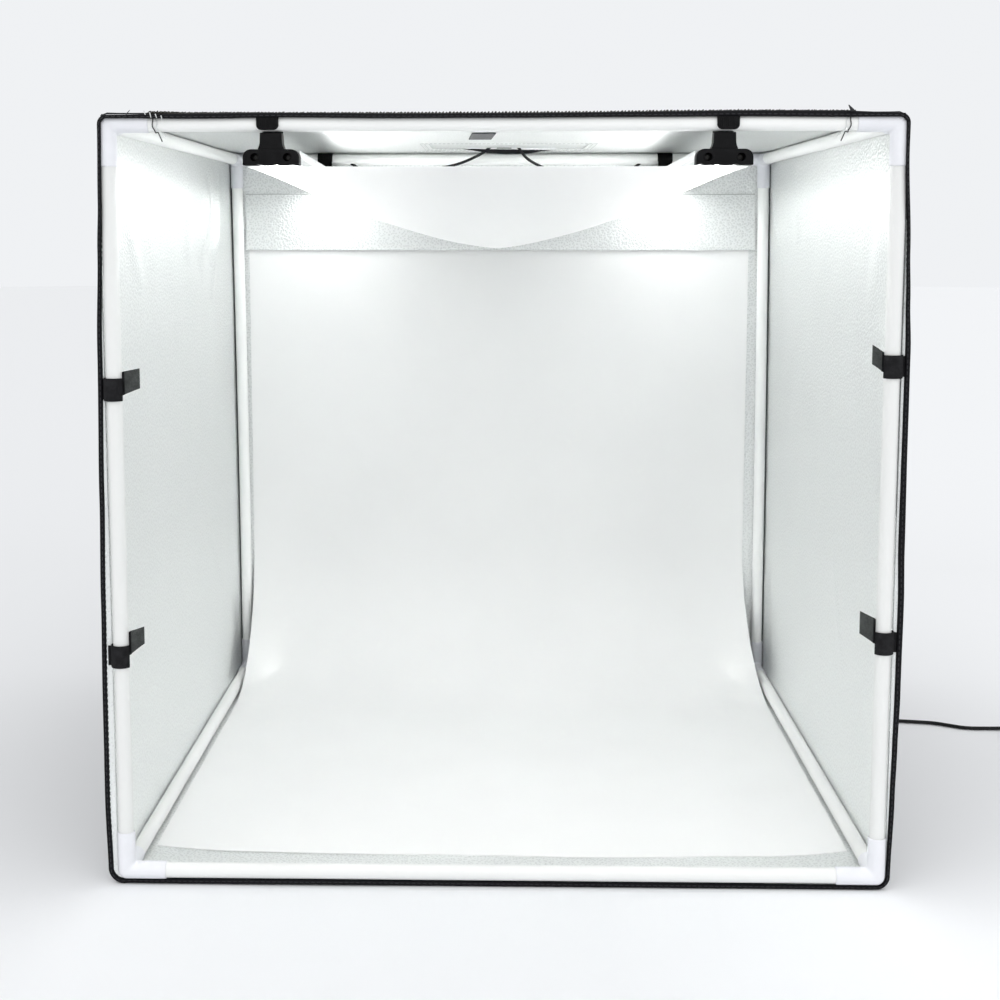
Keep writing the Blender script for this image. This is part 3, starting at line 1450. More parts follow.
        grid = shares(low.x, high.x, 0.006), shares(low.y, high.y, 0.005)
        finishes, where = [pile_finish("hook_tape")], ("tent", "hook_tape")
        sewn("hook_tape_base", grid, surface, (0, 0, HOOK_BASE), finishes, where, ["front_hook_tape"])
        hooks = bmesh.new()
        pitch, tall = sizes().hook_pitch, sizes().hook_height
        rows = int((high.y - low.y) / (pitch * 1.2))
        for row in range(rows):
            y = low.y + 0.0012 + row * pitch * 1.2
            x = -HOOK_END + (row % 2) * pitch * 0.12
            while x < HOOK_END:
                spots = (x * 900, y * 700, 1), (x * 800, y * 900, 9)
                wild = Vector((*[noise.noise(Vector(spot)) for spot in spots], 0))
                foot = Vector(surface(x, y)) + Vector((0, 0, HOOK_BASE - 0.0002)) + wild * 0.0004
                rise = tall * (0.8 + 0.5 * noise.noise(Vector((x * 500, y * 500, 4))))
                lean = Vector((0.0006 + 0.0005 * wild.x, 0.0005 * wild.y, rise))
                bmesh_hook(hooks, foot, lean)
                x += pitch
        publish("hook_tape_hooks", hooks, finishes, *where)

    def threads(self):
        """Loose tacking threads round the front rail beside the upper corners, with frayed ends."""
        dark, pale = bmesh.new(), bmesh.new()
        radius = TUBE_RADIUS + 0.0007
        turns = (dark, 0.0, 60, 300, 0.007), (pale, 0.0030, 100, 290, 0.003)
        for x, inward in ((-0.2590, 1), (0.2572, -1)):
            for bm, shift, first_deg, last_deg, tail in turns:
                points = []
                for k in range(25):
                    angle = math.radians(first_deg + (last_deg - first_deg) * k / 24)
                    swing = inward * (shift + 0.0022 * (k / 24) ** 2 + 0.0004 * math.sin(k * 0.8))
                    y, z = Y_FRONT + radius * math.cos(angle), Z_HIGH + radius * math.sin(angle)
                    points.append((x + swing, y, z))
                a, b, c = points[-1]
                points += [(a + inward * 0.0006 * k, b + 0.0008 * k, c - tail * k / 4) for k in range(1, 5)]
                join(bm, line_mesh(points, 0.0008, resolution=2))
        front = Y_FRONT - TUBE_RADIUS - 0.0045
        knots = (0.2568, 0.0080, 0.0042, 0.0016, 0.0003), (-0.2772, 0.0060, 0.0032, 0.0004, 0.0002)
        for x, up, rise, radius, end_radius in knots:
            start, end = (x, front, Z_HIGH + up), (x - math.copysign(0.003, x), front, Z_HIGH + up + rise)
            join(dark, rod(start, end, radius, 8, end_radius))
        for k in range(4):
            start = Vector((-0.2636 + 0.0042 * k, front - 0.0008, Z_HIGH + 0.0088 - 0.0012 * k))
            end = start + Vector((0.0010, 0, -0.0030 - 0.0010 * (k % 2)))
            join(pale, rod(start, end, 0.00045, 8, 0.0003))
        publish("tacking_threads", dark, [thread_finish(True)], "tent", "binding")
        publish("tacking_threads_pale", pale, [liner_finish(False)], "tent", "binding")

    def patch(self):
        low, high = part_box("ceiling_hook_patch")

        def surface(x, y):
            lean = PATCH_LEAN * (0.5 - (y - low.y) / (high.y - low.y))
            return (x + lean, y, high.z - roof_sag(x, y) + 0.0001)

        grid = shares(low.x, high.x, 0.003), shares(low.y, high.y, 0.004)
        finishes, where = [pile_finish("grey_loop_patch")], ("tent", "hook_tape")
        sewn("ceiling_patch", grid, surface, (0, 0, low.z - high.z), finishes, where, ["ceiling_hook_patch"])


def bmesh_hook(bm, foot, lean):
    """Adds a tiny bent hook of a few faces."""
    rings = []
    for share, thick, swing in HOOK_ROWS:
        centre = foot + Vector((lean.x * swing, lean.y * swing, lean.z * share))
        corners = (-thick, -thick), (thick, -thick), (thick, thick), (-thick, thick)
        rings.append([bm.verts.new(centre + Vector((*corner, 0))) for corner in corners])
    bridge(bm, rings)


# Binding keys: share of the side, middle line off the tube axis, half thickness (metres)
BINDING_KEYS = {
    "left": [
        (0.0, 0.0118, 0.0020), (0.10, 0.0131, 0.0019), (0.24, 0.0128, 0.0018), (0.38, 0.0120, 0.0018),
        (0.51, 0.0108, 0.0019), (0.71, 0.0093, 0.0018), (0.84, 0.0074, 0.0014), (0.90, 0.0063, 0.0012),
        (1.0, 0.0052, 0.0013),
    ],
    "right": [
        (0.0, 0.0085, 0.0016), (0.108, 0.0098, 0.0019), (0.18, 0.0106, 0.0020), (0.25, 0.0113, 0.0022),
        (0.38, 0.0116, 0.0023), (0.45, 0.0107, 0.0024), (0.58, 0.0105, 0.0021), (0.71, 0.0105, 0.0020),
        (0.775, 0.0094, 0.0016), (0.84, 0.0085, 0.0012), (0.965, 0.0056, 0.0012), (1.0, 0.0056, 0.0014),
    ],
    "top": [
        (0.0, 0.0052, 0.0013), (0.12, 0.0053, 0.0019), (0.22, 0.0060, 0.0017), (0.37, 0.0053, 0.0017),
        (0.52, 0.0055, 0.0017), (0.67, 0.0062, 0.0019), (0.82, 0.0068, 0.0022), (0.92, 0.0064, 0.0023),
        (1.0, 0.0058, 0.0016),
    ],
    "bottom": [
        (0.0, 0.0087, 0.0019), (0.21, 0.0086, 0.0020), (0.42, 0.0087, 0.0020), (0.63, 0.0087, 0.0019),
        (1.0, 0.0090, 0.0016),
    ],
}


# Added to each side's distances off the axis
BINDING_EXTRA = {"left": 0.0008, "right": 0.0008, "top": 0.0002, "bottom": 0.0}


def nearest_axis(place):
    """The nearest point on the front tubes' axes."""
    x = min(HALF, max(-HALF, place.x))
    z = min(Z_HIGH, max(Z_LOW, place.z))
    return Vector((x, place.y, z))


def clear_of_tube(axis, out, off):
    """A place off a tube's axis, moved forward where the roll would else run into the tube."""
    place = axis + out * off
    ahead = math.sqrt(max(0.0, (TUBE_RADIUS + BINDING_DEPTH * 0.45) ** 2 - off * off))
    sight = Vector(CAMERA_PLACE) - place
    return place + sight * (ahead / abs(sight.y))


def binding_ring():
    """Points round the front as (place, outward, half thickness)."""
    sides = [
        ("bottom", (-HALF, Z_LOW), (HALF, Z_LOW), (0, -1), False),
        ("right", (HALF, Z_LOW), (HALF, Z_HIGH), (1, 0), False),
        ("top", (HALF, Z_HIGH), (-HALF, Z_HIGH), (0, 1), True),
        ("left", (-HALF, Z_HIGH), (-HALF, Z_LOW), (-1, 0), True),
    ]
    ring = []
    for number, (word, start, end, outward, back) in enumerate(sides):
        keys = [(t, off + BINDING_EXTRA[word], half) for t, off, half in BINDING_KEYS[word]]
        for k in range(SIDE_STEPS + 1):
            t = k / SIDE_STEPS
            off, half = read_keys(keys, 1 - t if back else t)
            x, z = start[0] + (end[0] - start[0]) * t, start[1] + (end[1] - start[1]) * t
            out = Vector((outward[0], 0, outward[1]))
            ring.append((clear_of_tube(Vector((x, Y_FRONT, z)), out, off), out, half))
        nxt, _, _, _, after_back = sides[(number + 1) % 4]
        off_a, half_a = read_keys(keys, 0.0 if back else 1.0)
        off_b, half_b = read_keys(BINDING_KEYS[nxt], 1.0 if after_back else 0.0)
        off_b += BINDING_EXTRA[nxt]
        for k in range(1, CORNER_STEPS):
            mix = k / CORNER_STEPS
            angle = math.atan2(outward[1], outward[0]) + math.pi / 2 * mix
            out = Vector((math.cos(angle), 0, math.sin(angle)))
            off = off_a + (off_b - off_a) * mix
            half = half_a + (half_b - half_a) * mix
            ring.append((clear_of_tube(Vector((end[0], Y_FRONT, end[1])), out, off), out, half))
    return ring


class LIGHT_TENT_OT_flaps(bpy.types.Operator):
    """Makes the header flap on the back wall and the flap over the roof window"""

    bl_idname = "light_tent.flaps"
    bl_label = "Flaps"

    def execute(self, context):
        self.header()
        self.roof_flap()
        return {"FINISHED"}

    def header(self):
        low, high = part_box("back_header_flap")
        back = high.y

        def surface(x, z):
            share = (high.z - z) / (high.z - low.z)
            lean = 0.0030 * math.sin(math.pi / 2 * share) + 0.0005 * share * soft(x, z, 51.0)
            return (x, back - 0.0008 - lean, z)

        finishes, where = [liner_finish()], ("tent", "liner")
        xs = shares(low.x, high.x, 0.006)
        grid = xs, shares(low.z, high.z, 0.005)
        made, cut = sewn("header_band", grid, surface, (0, 0.0008, 0), finishes, where, ["back_header_flap"])
        declare(made, cut)

        def folded(x, z):
            x0, y0, z0 = surface(x, z)
            return (x0, y0 - 0.0009, z0 - 0.0003)

        grid = xs, shares(low.z, low.z + 0.008, 0.002)
        sewn("header_hem", grid, folded, (0, 0.0007, 0), finishes, where)
        top = [surface(x, high.z - 0.0020 + 0.0004 * soft(x, 1.0, 52.0)) for x in xs]
        fold = [Vector(p) - Vector((0, 0.0002, 0)) for p in top]
        publish("header_fold", line_mesh(fold, 0.0009, resolution=2), [thread_finish(False)], *where)

    def roof_flap(self):
        low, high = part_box("roof_window_flap")
        notch = WINDOW_REAR - SLIT_OPENING
        left, right = WINDOW_X - SLIT_WIDTH / 2, WINDOW_X + SLIT_WIDTH / 2

        def surface(x, y):
            return (x, y, ROOF + GAP - roof_sag(x, y) * 0.98)

        def keep(x, y):
            return not (left < x < right and y > notch)

        grid = shares(low.x, high.x, 0.005, (left, right)), shares(low.y, high.y, 0.005, (notch,))
        finishes, where = [cover_finish(), liner_finish()], ("roof_flap", "cover_fabric")
        nodes = ["roof_window_flap"]
        made, cut = sewn("window_flap", grid, surface, (0, 0, FABRIC), finishes, where, nodes, keep, 0)
        declare(made, cut)
        seam = bmesh.new()
        outline = [(low.x, low.y), (high.x, low.y), (high.x, high.y), (right, high.y), (right, notch)]
        outline += [(left, notch), (left, high.y), (low.x, high.y), (low.x, low.y)]
        for a, b in zip(outline, outline[1:]):
            a, b = Vector(a), Vector(b)
            run = (b - a).normalized()
            inset = Vector((-run.y, run.x)) * 0.004
            line = spaced(a + inset + run * 0.004, b + inset - run * 0.004, 12)
            stitch(seam, [(p.x, p.y, ROOF + GAP + FABRIC - roof_sag(p.x, p.y) * 0.98) for p in line])
        publish("window_flap_stitches", seam, [thread_finish(True)], "roof_flap", "binding")


# Straps: node, side, aim in degrees forward of straight in, tail length, lifts (low, high) of the tail's
# root and of its tip
STRAPS = [
    ("strap_left_high", -1, 12.0, 0.0140, (0.0045, 0.0048), (0.0098, 0.0076)),
    ("strap_left_low", -1, 12.0, 0.0125, (0.0095, 0.0105), (0.0190, 0.0150)),
    ("strap_right_high", 1, 12.0, 0.0090, (0.0050, 0.0022), (0.0106, 0.0078)),
    ("strap_right_low", 1, 12.0, 0.0125, (0.0078, 0.0099), (0.0163, 0.0163)),
]
STRAP_THICK = 0.0011
STRAP_RADIUS = TUBE_RADIUS + GAP + STRAP_THICK / 2
STRAP_ROOT = 0.0102
STRAP_GAP_DEG = 12
RING_STEPS = 44
TAIL_STEPS = 10


class LIGHT_TENT_OT_straps(bpy.types.Operator):
    """Wraps the four hook-and-loop straps round the front posts"""

    bl_idname = "light_tent.straps"
    bl_label = "Straps"

    def execute(self, context):
        for row in STRAPS:
            self.strap(*row)
        return {"FINISHED"}

    def strap(self, node, side, aim_deg, tail, root, tip):
        """One webbing ribbon: round the post from the front, up behind it, and out in a lifted tail."""
        low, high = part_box(node)
        half = (high.z - low.z) / 2
        centre = Vector((side * HALF, Y_FRONT))
        aim = math.atan2(-math.sin(math.radians(aim_deg)), -side * math.cos(math.radians(aim_deg)))
        out = Vector((math.cos(aim), math.sin(aim)))
        path, steps = [], RING_STEPS
        for k in range(steps + 1):
            angle = aim + side * math.radians(STRAP_GAP_DEG + (360 - 2 * STRAP_GAP_DEG) * k / steps)
            place = centre + Vector((math.cos(angle), math.sin(angle))) * STRAP_RADIUS
            rise = eased((k / steps - 0.55) / 0.45)
            path.append((place, root[0] * rise, root[1] * rise))
        last = path[-1][0]
        for k in range(1, TAIL_STEPS + 1):
            t = k / TAIL_STEPS
            bend = out * tail * t + Vector((-out.y, out.x)) * side * 0.0012 * math.sin(math.pi * t * 0.8)
            path.append((last + bend, root[0] + (tip[0] - root[0]) * t, root[1] + (tip[1] - root[1]) * t))
        places = [p[0] for p in path]
        normals = []
        for k in range(len(path)):
            before, after = places[max(0, k - 1)], places[min(len(path) - 1, k + 1)]
            run = (after - before).normalized()
            normals.append(Vector((run.y, -run.x, 0)) * side)

        def surface(u, v):
            place, lift_low, lift_high = path[round(u)]
            z = (low.z + high.z) / 2 + half * (2 * v - 1) + lift_low + (lift_high - lift_low) * v
            return (place.x, place.y, z)

        def grow(u, v):
            edge = 0.75 if v in (0, 1) else 1.0
            return normals[round(u)] * STRAP_THICK * edge

        bm = bmesh.new()
        vs = [0, 0.04, 0.2, 0.35, 0.5, 0.65, 0.8, 0.96, 1]
        cloth(bm, list(range(len(path))), vs, surface, grow, None, (0, 0))
        for face in bm.faces:
            centre_of = face.calc_center_median()
            away = (Vector((centre_of.x, centre_of.y)) - centre).dot(out)
            if away > STRAP_RADIUS + 0.001:
                face.material_index = 1
        xs = sorted((side * (HALF + STRAP_RADIUS - 0.0003), side * (HALF + STRAP_ROOT)))
        join(bm, block((xs[0], Y_FRONT - 0.0006, low.z + 0.001), (xs[1], Y_FRONT + 0.0005, high.z - 0.001)))
        publish(f"{node}_webbing", bm, [strap_finish(), tail_finish()], "tent", "strap", [node])


def area_light(name, size, power, place, turn, body=None):
    """Adds a rectangular light, on a body if one is given."""
    data = bpy.data.lights.new(name, "AREA")
    data.shape = "RECTANGLE"
    data.size, data.size_y = size
    data.energy = power
    lamp = bpy.data.objects.new(name, data)
    lamp.location = place
    lamp.rotation_euler = turn
    bpy.context.collection.objects.link(lamp)
    if body:
        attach(lamp, body)


def bar_x(word, y):
    """Middle of a bar at a distance along the tent."""
    front, rear = middle(f"led_front_cap_{word}").x, middle(f"led_rear_cap_{word}").x
    return front + (rear - front) * (y - Y_FRONT) / (Y_REAR - Y_FRONT)


class LIGHT_TENT_OT_bars(bpy.types.Operator):
    """Makes both LED bars: caps, screws, housing, board and LEDs"""

    bl_idname = "light_tent.bars"
    bl_label = "LED bars"

    def execute(self, context):
        for word, side in SIDES:
            body = f"led_bar_{word}"
            self.front_cap(word, body)
            self.rear_cap(word, side, body)
            self.housing(word, body)
            self.board(word, body)
            for number in (1, 2):
                self.screw(f"led_cap_screw_{word}_{number}", body)
        return {"FINISHED"}

    def clip(self, x, y, inward, lean=0.0):
        """The hook over a rail, with its ribbed tab, which stands lean off the middle."""
        rail = Z_HIGH
        over = arc((0, 0), CLIP_RADIUS, -20, 200, 18)
        under = arc((0, 0), TUBE_RADIUS + GAP, 200, -20, 18)
        bm = slab(
            [*over, *under],
            lambda a, b: (x + lean - TAB_WIDTH / 2, y + inward * a, rail + b),
            (TAB_WIDTH, 0, 0),
            0.0003,
            2,
        )
        half, top, low, radius = TAB_WIDTH / 2, 0.0045, -0.0052, 0.0038
        outline = [(-half, top), *arc((-half + radius, low + radius), radius, 180, 270, 8)]
        outline += [*arc((half - radius, low + radius), radius, 270, 360, 8), (half, top)]
        face = y - inward * (TUBE_RADIUS + GAP)
        run = (0, -inward * TAB_THICK, 0)
        tab = slab(outline, lambda a, b: (x + lean + a, face, rail + b), run, 0.0005, 3)
        bm = combined(bm, tab, "UNION")
        ribs = sorted(face - inward * out for out in (TAB_THICK * 0.6, TAB_THICK + 0.0006))
        for place in (-0.0045, 0.0, 0.0045):
            low_corner = (x + lean + place - 0.0007, ribs[0], rail + low + 0.0022)
            high_corner = (x + lean + place + 0.0007, ribs[1], rail + top - 0.001)
            bm = combined(bm, block(low_corner, high_corner, 0.0003, 2), "UNION")
        return bm

    def stem(self, x, y, inward):
        """The flared neck under a rail."""
        top, low = BAR_TOP + 0.0001, PLATE_TOP - 0.002
        narrow, wide = STEM_WIDTH / 2 - 0.0007, STEM_WIDTH / 2 + 0.0009
        right = [(wide, low), (wide, low + 0.0028), (wide - 0.0007, low + 0.0042)]
        right += [(narrow + 0.0003, low + 0.0065), (narrow, top)]
        outline = right + [(-a, b) for a, b in reversed(right)]
        run = STEM_FRONT + CLIP_RADIUS
        start = y - inward * STEM_FRONT
        return slab(outline, lambda a, b: (x + a, start, b), (0, inward * run, 0), 0.0006, 3)

    def plate(self, x, y, inward, scallops):
        """The plate that closes the bar's end."""
        half, radius, foot = PLATE_WIDTH / 2, 0.0062, 0.0004
        top, low = PLATE_TOP, PLATE_BOTTOM
        line = [(-half, low + foot), (-half + foot, low)]
        for place in scallops:
            line += [(place + a, low + b) for a, b in arc((0, -0.0041), 0.0048, 121, 59, 8)]
        line += [(half - foot, low), (half, low + foot)]
        line += arc((half - radius, top - radius), radius, 0, 90, 8)
        line += arc((-half + radius, top - radius), radius, 90, 180, 8)
        start = y - inward * PLATE_FRONT
        run = inward * (PLATE_FRONT + PLATE_BACK)
        return slab(line, lambda a, b: (x + a, start, b), (0, run, 0), 0.0007, 3)

    def cap(self, x, y, inward, lean=0.0, scallops=()):
        """Clip, stem and plate in one, with the backing between clip and stem."""
        bm = combined(self.clip(x, y, inward, lean), self.stem(x, y, inward), "UNION")
        bm = combined(bm, self.plate(x, y, inward, scallops), "UNION")
        ys = sorted((y + inward * (TUBE_RADIUS + GAP), y + inward * CLIP_RADIUS))
        half = STEM_WIDTH / 2 - 0.001
        backing = block((x - half, ys[0], PLATE_TOP - 0.004), (x + half, ys[1], Z_HIGH + 0.001))
        return combined(bm, backing, "UNION")

    def front_cap(self, word, body):
        """The front cap, with a counterbored hole for each screw."""
        node = f"led_front_cap_{word}"
        x, y = middle(node).x, Y_FRONT
        side, scallops = CAP_FACE[word]
        bm = self.cap(x, y, 1, side * TAB_LEAN, scallops)
        face = y - PLATE_FRONT
        level = (PLATE_TOP + PLATE_BOTTOM) / 2
        snug, flared = SCREW_HEAD_RADIUS + GAP, SCREW_HEAD_RADIUS + 0.0010
        cuts = (snug, COUNTERBORE_DEPTH, snug), (0.0016, 0.02, 0.0016), (flared, 0.0007, snug)
        for place in (-SCREW_SPREAD, SCREW_SPREAD):
            for radius, depth, end_radius in cuts:
                start, end = (x + place, face - CUT, level), (x + place, face + depth, level)
                bm = combined(bm, rod(start, end, radius, 32, end_radius), "DIFFERENCE")
        publish(f"front_cap_moulding_{word}", bm, [plain_finish("cap_plastic")], body, "bar_cap", [node])

    def rear_cap(self, word, side, body):
        """The rear cap, with the spout of the bar's lead."""
        x, y = bar_x(word, Y_REAR), Y_REAR
        bm = self.cap(x, y, -1)
        level = BAR_TOP - STEM_HEIGHT / 2
        tip = x - side * (STEM_WIDTH / 2 + 0.004)
        bm = combined(bm, rod((x, y, level), (tip, y, level), 0.0030, 24, 0.0025), "UNION")
        start, end = (tip + side * 0.006, y, level), (tip - side * CUT, y, level)
        bm = combined(bm, rod(start, end, LED_LEAD_DIAMETER / 2 + 0.0001, 24), "DIFFERENCE")
        node, finishes = f"led_rear_cap_{word}", [plain_finish("cap_plastic")]
        publish(f"rear_cap_moulding_{word}", bm, finishes, body, "bar_cap", [node])

    def housing(self, word, body):
        node = f"led_housing_{word}"
        low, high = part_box(node)
        half_plate, groove = PLATE_WIDTH / 2 - 0.0005, 0.012
        notch, lip = half_plate - 0.0008, groove - 0.002
        shoulder = PLATE_TOP - 0.0005
        right = [(0.009, low.z + 0.003), (0.009, low.z), (half_plate, low.z), (half_plate, low.z + 0.003)]
        right += [(notch, low.z + 0.0035), (notch, low.z + 0.0055), (half_plate, low.z + 0.006)]
        right += [(half_plate, shoulder), (groove, shoulder), (groove, shoulder - 0.0008)]
        right += [(lip, shoulder - 0.0008), (lip, shoulder)]
        outline = right + [(-a, b) for a, b in reversed(right)]
        bm = slab(outline, lambda a, b: (a, low.y, b), (0, high.y - low.y, 0), 0.0002, 1)
        for vert in bm.verts:
            vert.co.x += bar_x(word, vert.co.y)
        publish(f"bar_extrusion_{word}", bm, [plain_finish("anodised_housing")], body, "bar_housing", [node])

    def board(self, word, body):
        node = f"led_board_{word}"
        low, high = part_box(node)
        bm = block((-0.008, low.y, low.z), (0.008, high.y, high.z))
        for vert in bm.verts:
            vert.co.x += bar_x(word, vert.co.y)
        publish(f"led_board_mask_{word}", bm, [plain_finish("led_board_mask")], body, "led_board", [node])
        lit = bmesh.new()
        pitch = sizes().led_pitch
        count = int((high.y - low.y) / pitch)
        for k in range(count):
            y = low.y + (high.y - low.y - (count - 1) * pitch) / 2 + k * pitch
            x = bar_x(word, y)
            join(lit, block((x - 0.0018, y - 0.0014, low.z - 0.0007), (x + 0.0018, y + 0.0014, low.z)))
        publish(f"led_packages_{word}", lit, [led_finish()], body, "led_board")
        long, centre = high.y - low.y - 0.01, (low.y + high.y) / 2
        turn = (0, 0, -math.atan2(bar_x(word, Y_REAR) - bar_x(word, Y_FRONT), Y_REAR - Y_FRONT))
        place = (bar_x(word, 0.0), centre, PLATE_BOTTOM - 0.002)
        area_light(f"bar_light_{word}", (0.034, long), light().bar, place, turn, body)
        for way in (-1, 1):
            place = (bar_x(word, 0.0) + way * (PLATE_WIDTH / 2 + 0.003), centre, PLATE_BOTTOM + 0.002)
            turn = (0, -way * math.radians(58), 0)
            power = light().bar * light().glow
            area_light(f"bar_glow_{word}", (0.012, long), power, place, turn, body)

    def screw(self, node, body):
        """A pan head screw with a cross slot, deep in the cap."""
        low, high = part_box(node)
        x, z = (low.x + high.x) / 2, (low.z + high.z) / 2
        radius = (high.x - low.x) / 2
        profile = [(0, 0.0001), (0, radius * 0.6), (0.0004, radius * 0.9), (0.0009, radius), (0.0018, radius)]
        profile += [(0.0018, 0.0013), (high.y - low.y - 0.0008, 0.0013), (high.y - low.y, 0.0004)]
        bm = lathe(bmesh.new(), profile, (x, low.y, z), (0, 1, 0), 24)
        slot_floor = low.y + 0.0009
        for wide, tall in ((0.0026, 0.0006), (0.0006, 0.0026)):
            start, end = (x - wide / 2, low.y - CUT, z - tall / 2), (x + wide / 2, slot_floor, z + tall / 2)
            bm = combined(bm, block(start, end), "DIFFERENCE")
        publish(f"{node}_turned", bm, [plain_finish("blackened_screw")], body, "screw", [node])


class LIGHT_TENT_OT_cloths(bpy.types.Operator):
    """Hangs the diffuser cloth under the bars and lays the backdrop sheet"""

    bl_idname = "light_tent.cloths"
    bl_label = "Diffuser and backdrop"

    def execute(self, context):
        self.diffuser()
        self.backdrop()
        dress("backdrop_hook_tape", pile_finish("hook_tape"))
        return {"FINISHED"}

    def diffuser(self):
        """Two halves that meet in the middle seam, each of which follows its own bar."""
        front, rear = Y_FRONT + DIFFUSER_MARGIN, Y_REAR - DIFFUSER_MARGIN
        top = PLATE_BOTTOM - GAP

        def surface(u, v):
            y = front + (rear - front) * v
            left, right = bar_x("left", y) - DIFFUSER_LAP, bar_x("right", y) + DIFFUSER_LAP
            across, along = abs(2 * u - 1), abs(2 * v - 1)
            shape = (1 - across**1.5) * (1 - along**2.6)
            x = left + (right - left) * u
            ripple = 0.0011 * soft(x * 1.4, y * 0.7, 61.0) * shape
            return (x, y, top - DIFFUSER_SAG * shape + ripple)

        for word, side, start, end in (("left", -1, 0.0, 0.5), ("right", 1, 0.5, 1.0)):
            grid, grow = (shares(start, end, 0.012), shares(0.0, 1.0, 0.011)), (0, 0, -DIFFUSER_THICK)
            finishes, where, nodes = [diffuser_finish()], (None, "diffuser"), ("diffuser_cloth",)
            made, cut = sewn(f"diffuser_half_{word}", grid, surface, grow, finishes, where, nodes)
            inner = Vector(surface(0.5, 0.5))
            bar = bar_x(word, 0.0) - side * 0.021
            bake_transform(made)
            declare(made, cut)

    def backdrop(self):
        low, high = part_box("backdrop_sheet")
        wall, floor, radius = high.y, low.z, SWEEP_RADIUS
        up, round_run = high.z - floor - radius, radius * math.pi / 2
        flat_run = wall - radius - low.y
        total = up + round_run + flat_run

        def surface(u, v):
            distance = v * total
            if distance < up:
                y, z = wall, high.z - distance
            elif distance < up + round_run:
                angle = (distance - up) / radius
                y, z = wall - radius + radius * math.cos(angle), floor + radius - radius * math.sin(angle)
            else:
                y, z = wall - radius - (distance - up - round_run), floor
            ahead = eased((distance - up) / round_run)
            x = low.x + (high.x + 0.0100 * ahead - low.x) * u
            near_front = eased((v - 0.75) / 0.25)
            corner = max(0.0, abs(2 * u - 1) - 0.72) / 0.28
            wave = 0.0024 * math.sin(u * 7.0 + 0.6) + 0.0012 * math.sin(u * 17.0)
            y += near_front * (wave + 0.013 * corner * corner)
            z -= 0.0007 * eased((v - 0.97) / 0.03)
            return (x, y, z)

        def grow(u, v):
            angle = min(max(v * total - up, 0.0), round_run) / radius
            return Vector((0, -math.cos(angle), math.sin(angle))) * BACKDROP_THICK

        grid = shares(0.0, 1.0, 0.016), shares(0.0, 1.0, 0.012)
        finishes, where = [backdrop_finish()], ("tent", "backdrop")
        made, cut = sewn("backdrop_cloth", grid, surface, grow, finishes, where, ["backdrop_sheet"])
        declare(made, cut)


class LIGHT_TENT_OT_leads(bpy.types.Operator):
    """Lays the leads and dresses the splitter, strain relief, adapter and pins"""

    bl_idname = "light_tent.leads"
    bl_label = "Leads"

    def execute(self, context):
        sheath = plain_finish("lead_sheath")
        looks = {
            "lead_splitter": adapter_finish(),
            "adapter_strain_relief": sheath,
            "wall_adapter": adapter_finish(),
            "adapter_pin_1": plain_finish("plated_steel"),
            "adapter_pin_2": plain_finish("plated_steel"),
        }
        for node, finish in looks.items():
            dress(node, finish)
        route = dc_route()
        lead = line_object(route, DC_LEAD_DIAMETER)
        lead.name = "dc_lead_sheath"
        lead.data.materials.append(sheath)
        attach(lead, "tent")
        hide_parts("dc_lead", "dc_lead_coil", "dc_lead_end")
        for word, side in SIDES:
            path = relaxed(led_route(word, side), 0.0025, 12)
            bm, nodes = line_mesh(path, LED_LEAD_DIAMETER), (f"led_lead_{word}",)
            made = publish(f"led_lead_sheath_{word}", bm, [sheath], None, "lead", nodes)
            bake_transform(made)
        return {"FINISHED"}


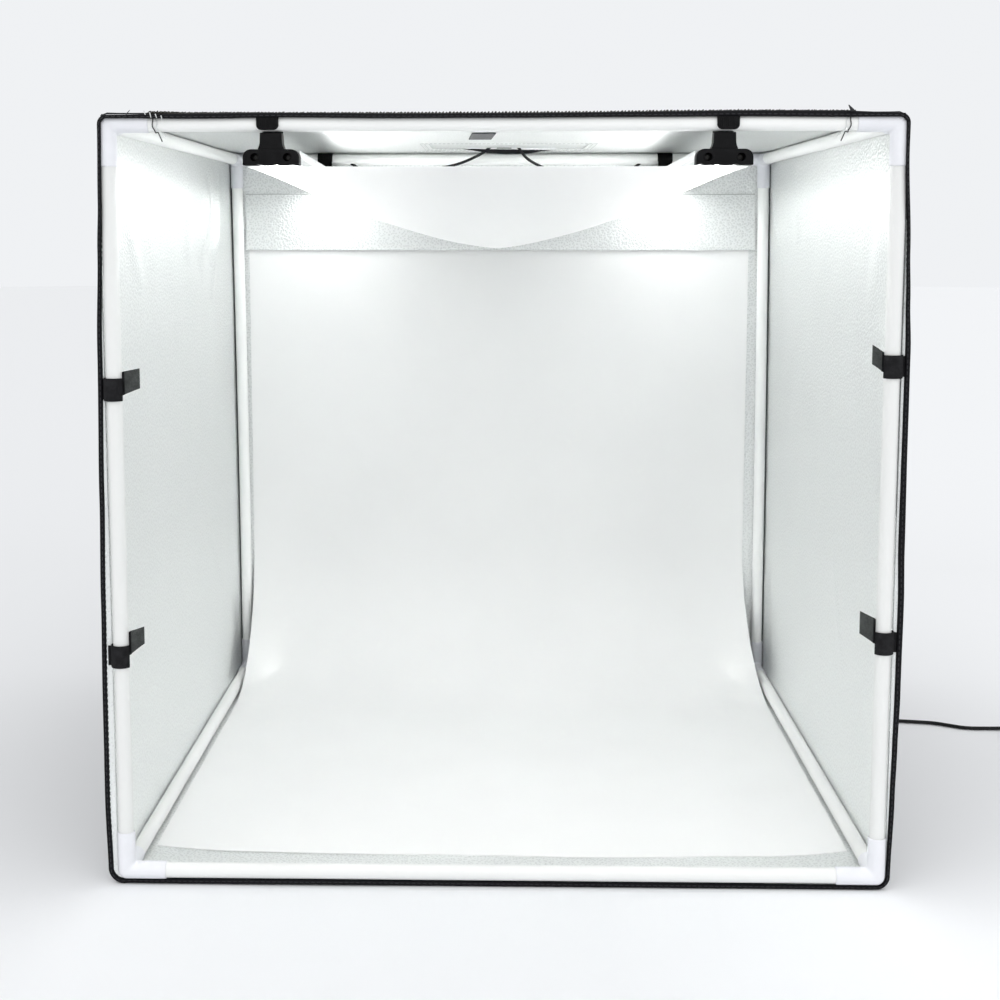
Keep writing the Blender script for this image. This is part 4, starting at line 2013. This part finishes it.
class LIGHT_TENT_OT_stage(bpy.types.Operator):
    """Makes the floor, the studio light and the camera"""

    bl_idname = "light_tent.stage"
    bl_label = "Stage"

    def execute(self, context):
        scene = context.scene
        scene.view_settings.view_transform = "Standard"
        bm = bmesh.new()
        bmesh.ops.create_circle(bm, cap_ends=True, segments=64, radius=FLOOR_RADIUS)
        floor = publish("floor", bm, [])
        made = Finish("pale_floor", roughness=0.9, specular_ior_level=0.1)
        distance = made.part(made.place(), 1).between(FLOOR_NEAR, FLOOR_FAR)
        aside = made.part(made.place(), 0).between(0.08, 0.38)
        base = colours().floor
        near = made.tint(aside, shade(base, 0.945), shade(base, 1.065))
        far = made.tint(aside, shade(base, 0.89), shade(base, 0.955))
        made.set("Base Color", made.tint(distance, near, far))
        floor.data.materials.append(made.material)
        self.world(scene)
        self.lamps()
        data = bpy.data.cameras.new("camera")
        data.lens = CAMERA_LENS_MM
        data.shift_x, data.shift_y = CAMERA_SHIFT
        camera = bpy.data.objects.new("camera", data)
        camera.location = CAMERA_PLACE
        camera.rotation_euler = [math.radians(a) for a in CAMERA_TURN_DEG]
        context.collection.objects.link(camera)
        scene.camera = camera
        return {"FINISHED"}

    def world(self, scene):
        """Even light from all round, seen as the pale background."""
        scene.world = bpy.data.worlds.new("studio")
        scene.world.use_nodes = True
        tree = scene.world.node_tree
        lit = tree.nodes["Background"]
        lit.inputs["Color"].default_value = (1.0, 1.0, 1.0, 1.0)
        lit.inputs["Strength"].default_value = light().world
        seen = tree.nodes.new("ShaderNodeBackground")
        seen.inputs["Color"].default_value = (*colours().floor, 1.0)
        paths = tree.nodes.new("ShaderNodeLightPath")
        mixed = tree.nodes.new("ShaderNodeMixShader")
        ray = paths.outputs["Is Camera Ray"]
        for kind in ("Is Glossy Ray", "Is Transmission Ray"):
            either = tree.nodes.new("ShaderNodeMath")
            either.operation = "MAXIMUM"
            tree.links.new(ray, either.inputs[0])
            tree.links.new(paths.outputs[kind], either.inputs[1])
            ray = either.outputs[0]
        tree.links.new(ray, mixed.inputs[0])
        tree.links.new(lit.outputs[0], mixed.inputs[1])
        tree.links.new(seen.outputs[0], mixed.inputs[2])
        tree.links.new(mixed.outputs[0], tree.nodes["World Output"].inputs["Surface"])

    def lamps(self):
        """One broad sun from above the front, a weaker one opposite, and light in the low rear corners."""
        for word, side in SIDES:
            place = (side * 0.255, 0.225, 0.115)
            turn = (math.radians(90), 0, -side * math.radians(50))
            area_light(f"corner_light_{word}", (0.03, 0.20), light().corner, place, turn)
        suns = ("key", light().key, (38, 0, -20)), ("fill", light().key * 0.6, (66, 0, 28))
        for name, strength, turn in suns:
            data = bpy.data.lights.new(name, "SUN")
            data.energy = strength
            data.angle = math.radians(70)
            lamp = bpy.data.objects.new(name, data)
            lamp.rotation_euler = [math.radians(a) for a in turn]
            bpy.context.collection.objects.link(lamp)


class LIGHT_TENT_PT_panel(bpy.types.Panel):
    """Lists the tent's operators and settings"""

    bl_label = "Light Tent"
    bl_idname = "LIGHT_TENT_PT_panel"
    bl_space_type = "VIEW_3D"
    bl_region_type = "UI"
    bl_category = "Light Tent"

    def draw(self, context):
        for operator in OPERATORS:
            self.layout.operator(operator.bl_idname)
        for group in (sizes(), colours(), light()):
            for name in group.bl_rna.properties.keys():
                if name not in ("rna_type", "name"):
                    self.layout.prop(group, name)


OPERATORS = (
    LIGHT_TENT_OT_stage,
    LIGHT_TENT_OT_frame,
    LIGHT_TENT_OT_cover,
    LIGHT_TENT_OT_flaps,
    LIGHT_TENT_OT_straps,
    LIGHT_TENT_OT_bars,
    LIGHT_TENT_OT_cloths,
    LIGHT_TENT_OT_leads,
)
GROUPS = (LightTentSizes, LightTentColours, LightTentLight)


def register():
    for group in GROUPS:
        bpy.utils.register_class(group)
    for operator in OPERATORS:
        bpy.utils.register_class(operator)
    bpy.utils.register_class(LIGHT_TENT_PT_panel)
    bpy.types.Scene.light_tent_sizes = PointerProperty(type=LightTentSizes)
    bpy.types.Scene.light_tent_colours = PointerProperty(type=LightTentColours)
    bpy.types.Scene.light_tent_light = PointerProperty(type=LightTentLight)


def unregister():
    del bpy.types.Scene.light_tent_light
    del bpy.types.Scene.light_tent_colours
    del bpy.types.Scene.light_tent_sizes
    bpy.utils.unregister_class(LIGHT_TENT_PT_panel)
    for thing in (*reversed(OPERATORS), *reversed(GROUPS)):
        bpy.utils.unregister_class(thing)


def main():
    """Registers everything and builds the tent."""
    register()
    for operator in OPERATORS:
        name = operator.bl_idname.split(".")[1]
        getattr(bpy.ops.light_tent, name)()


if __name__ == "__main__":
    main()
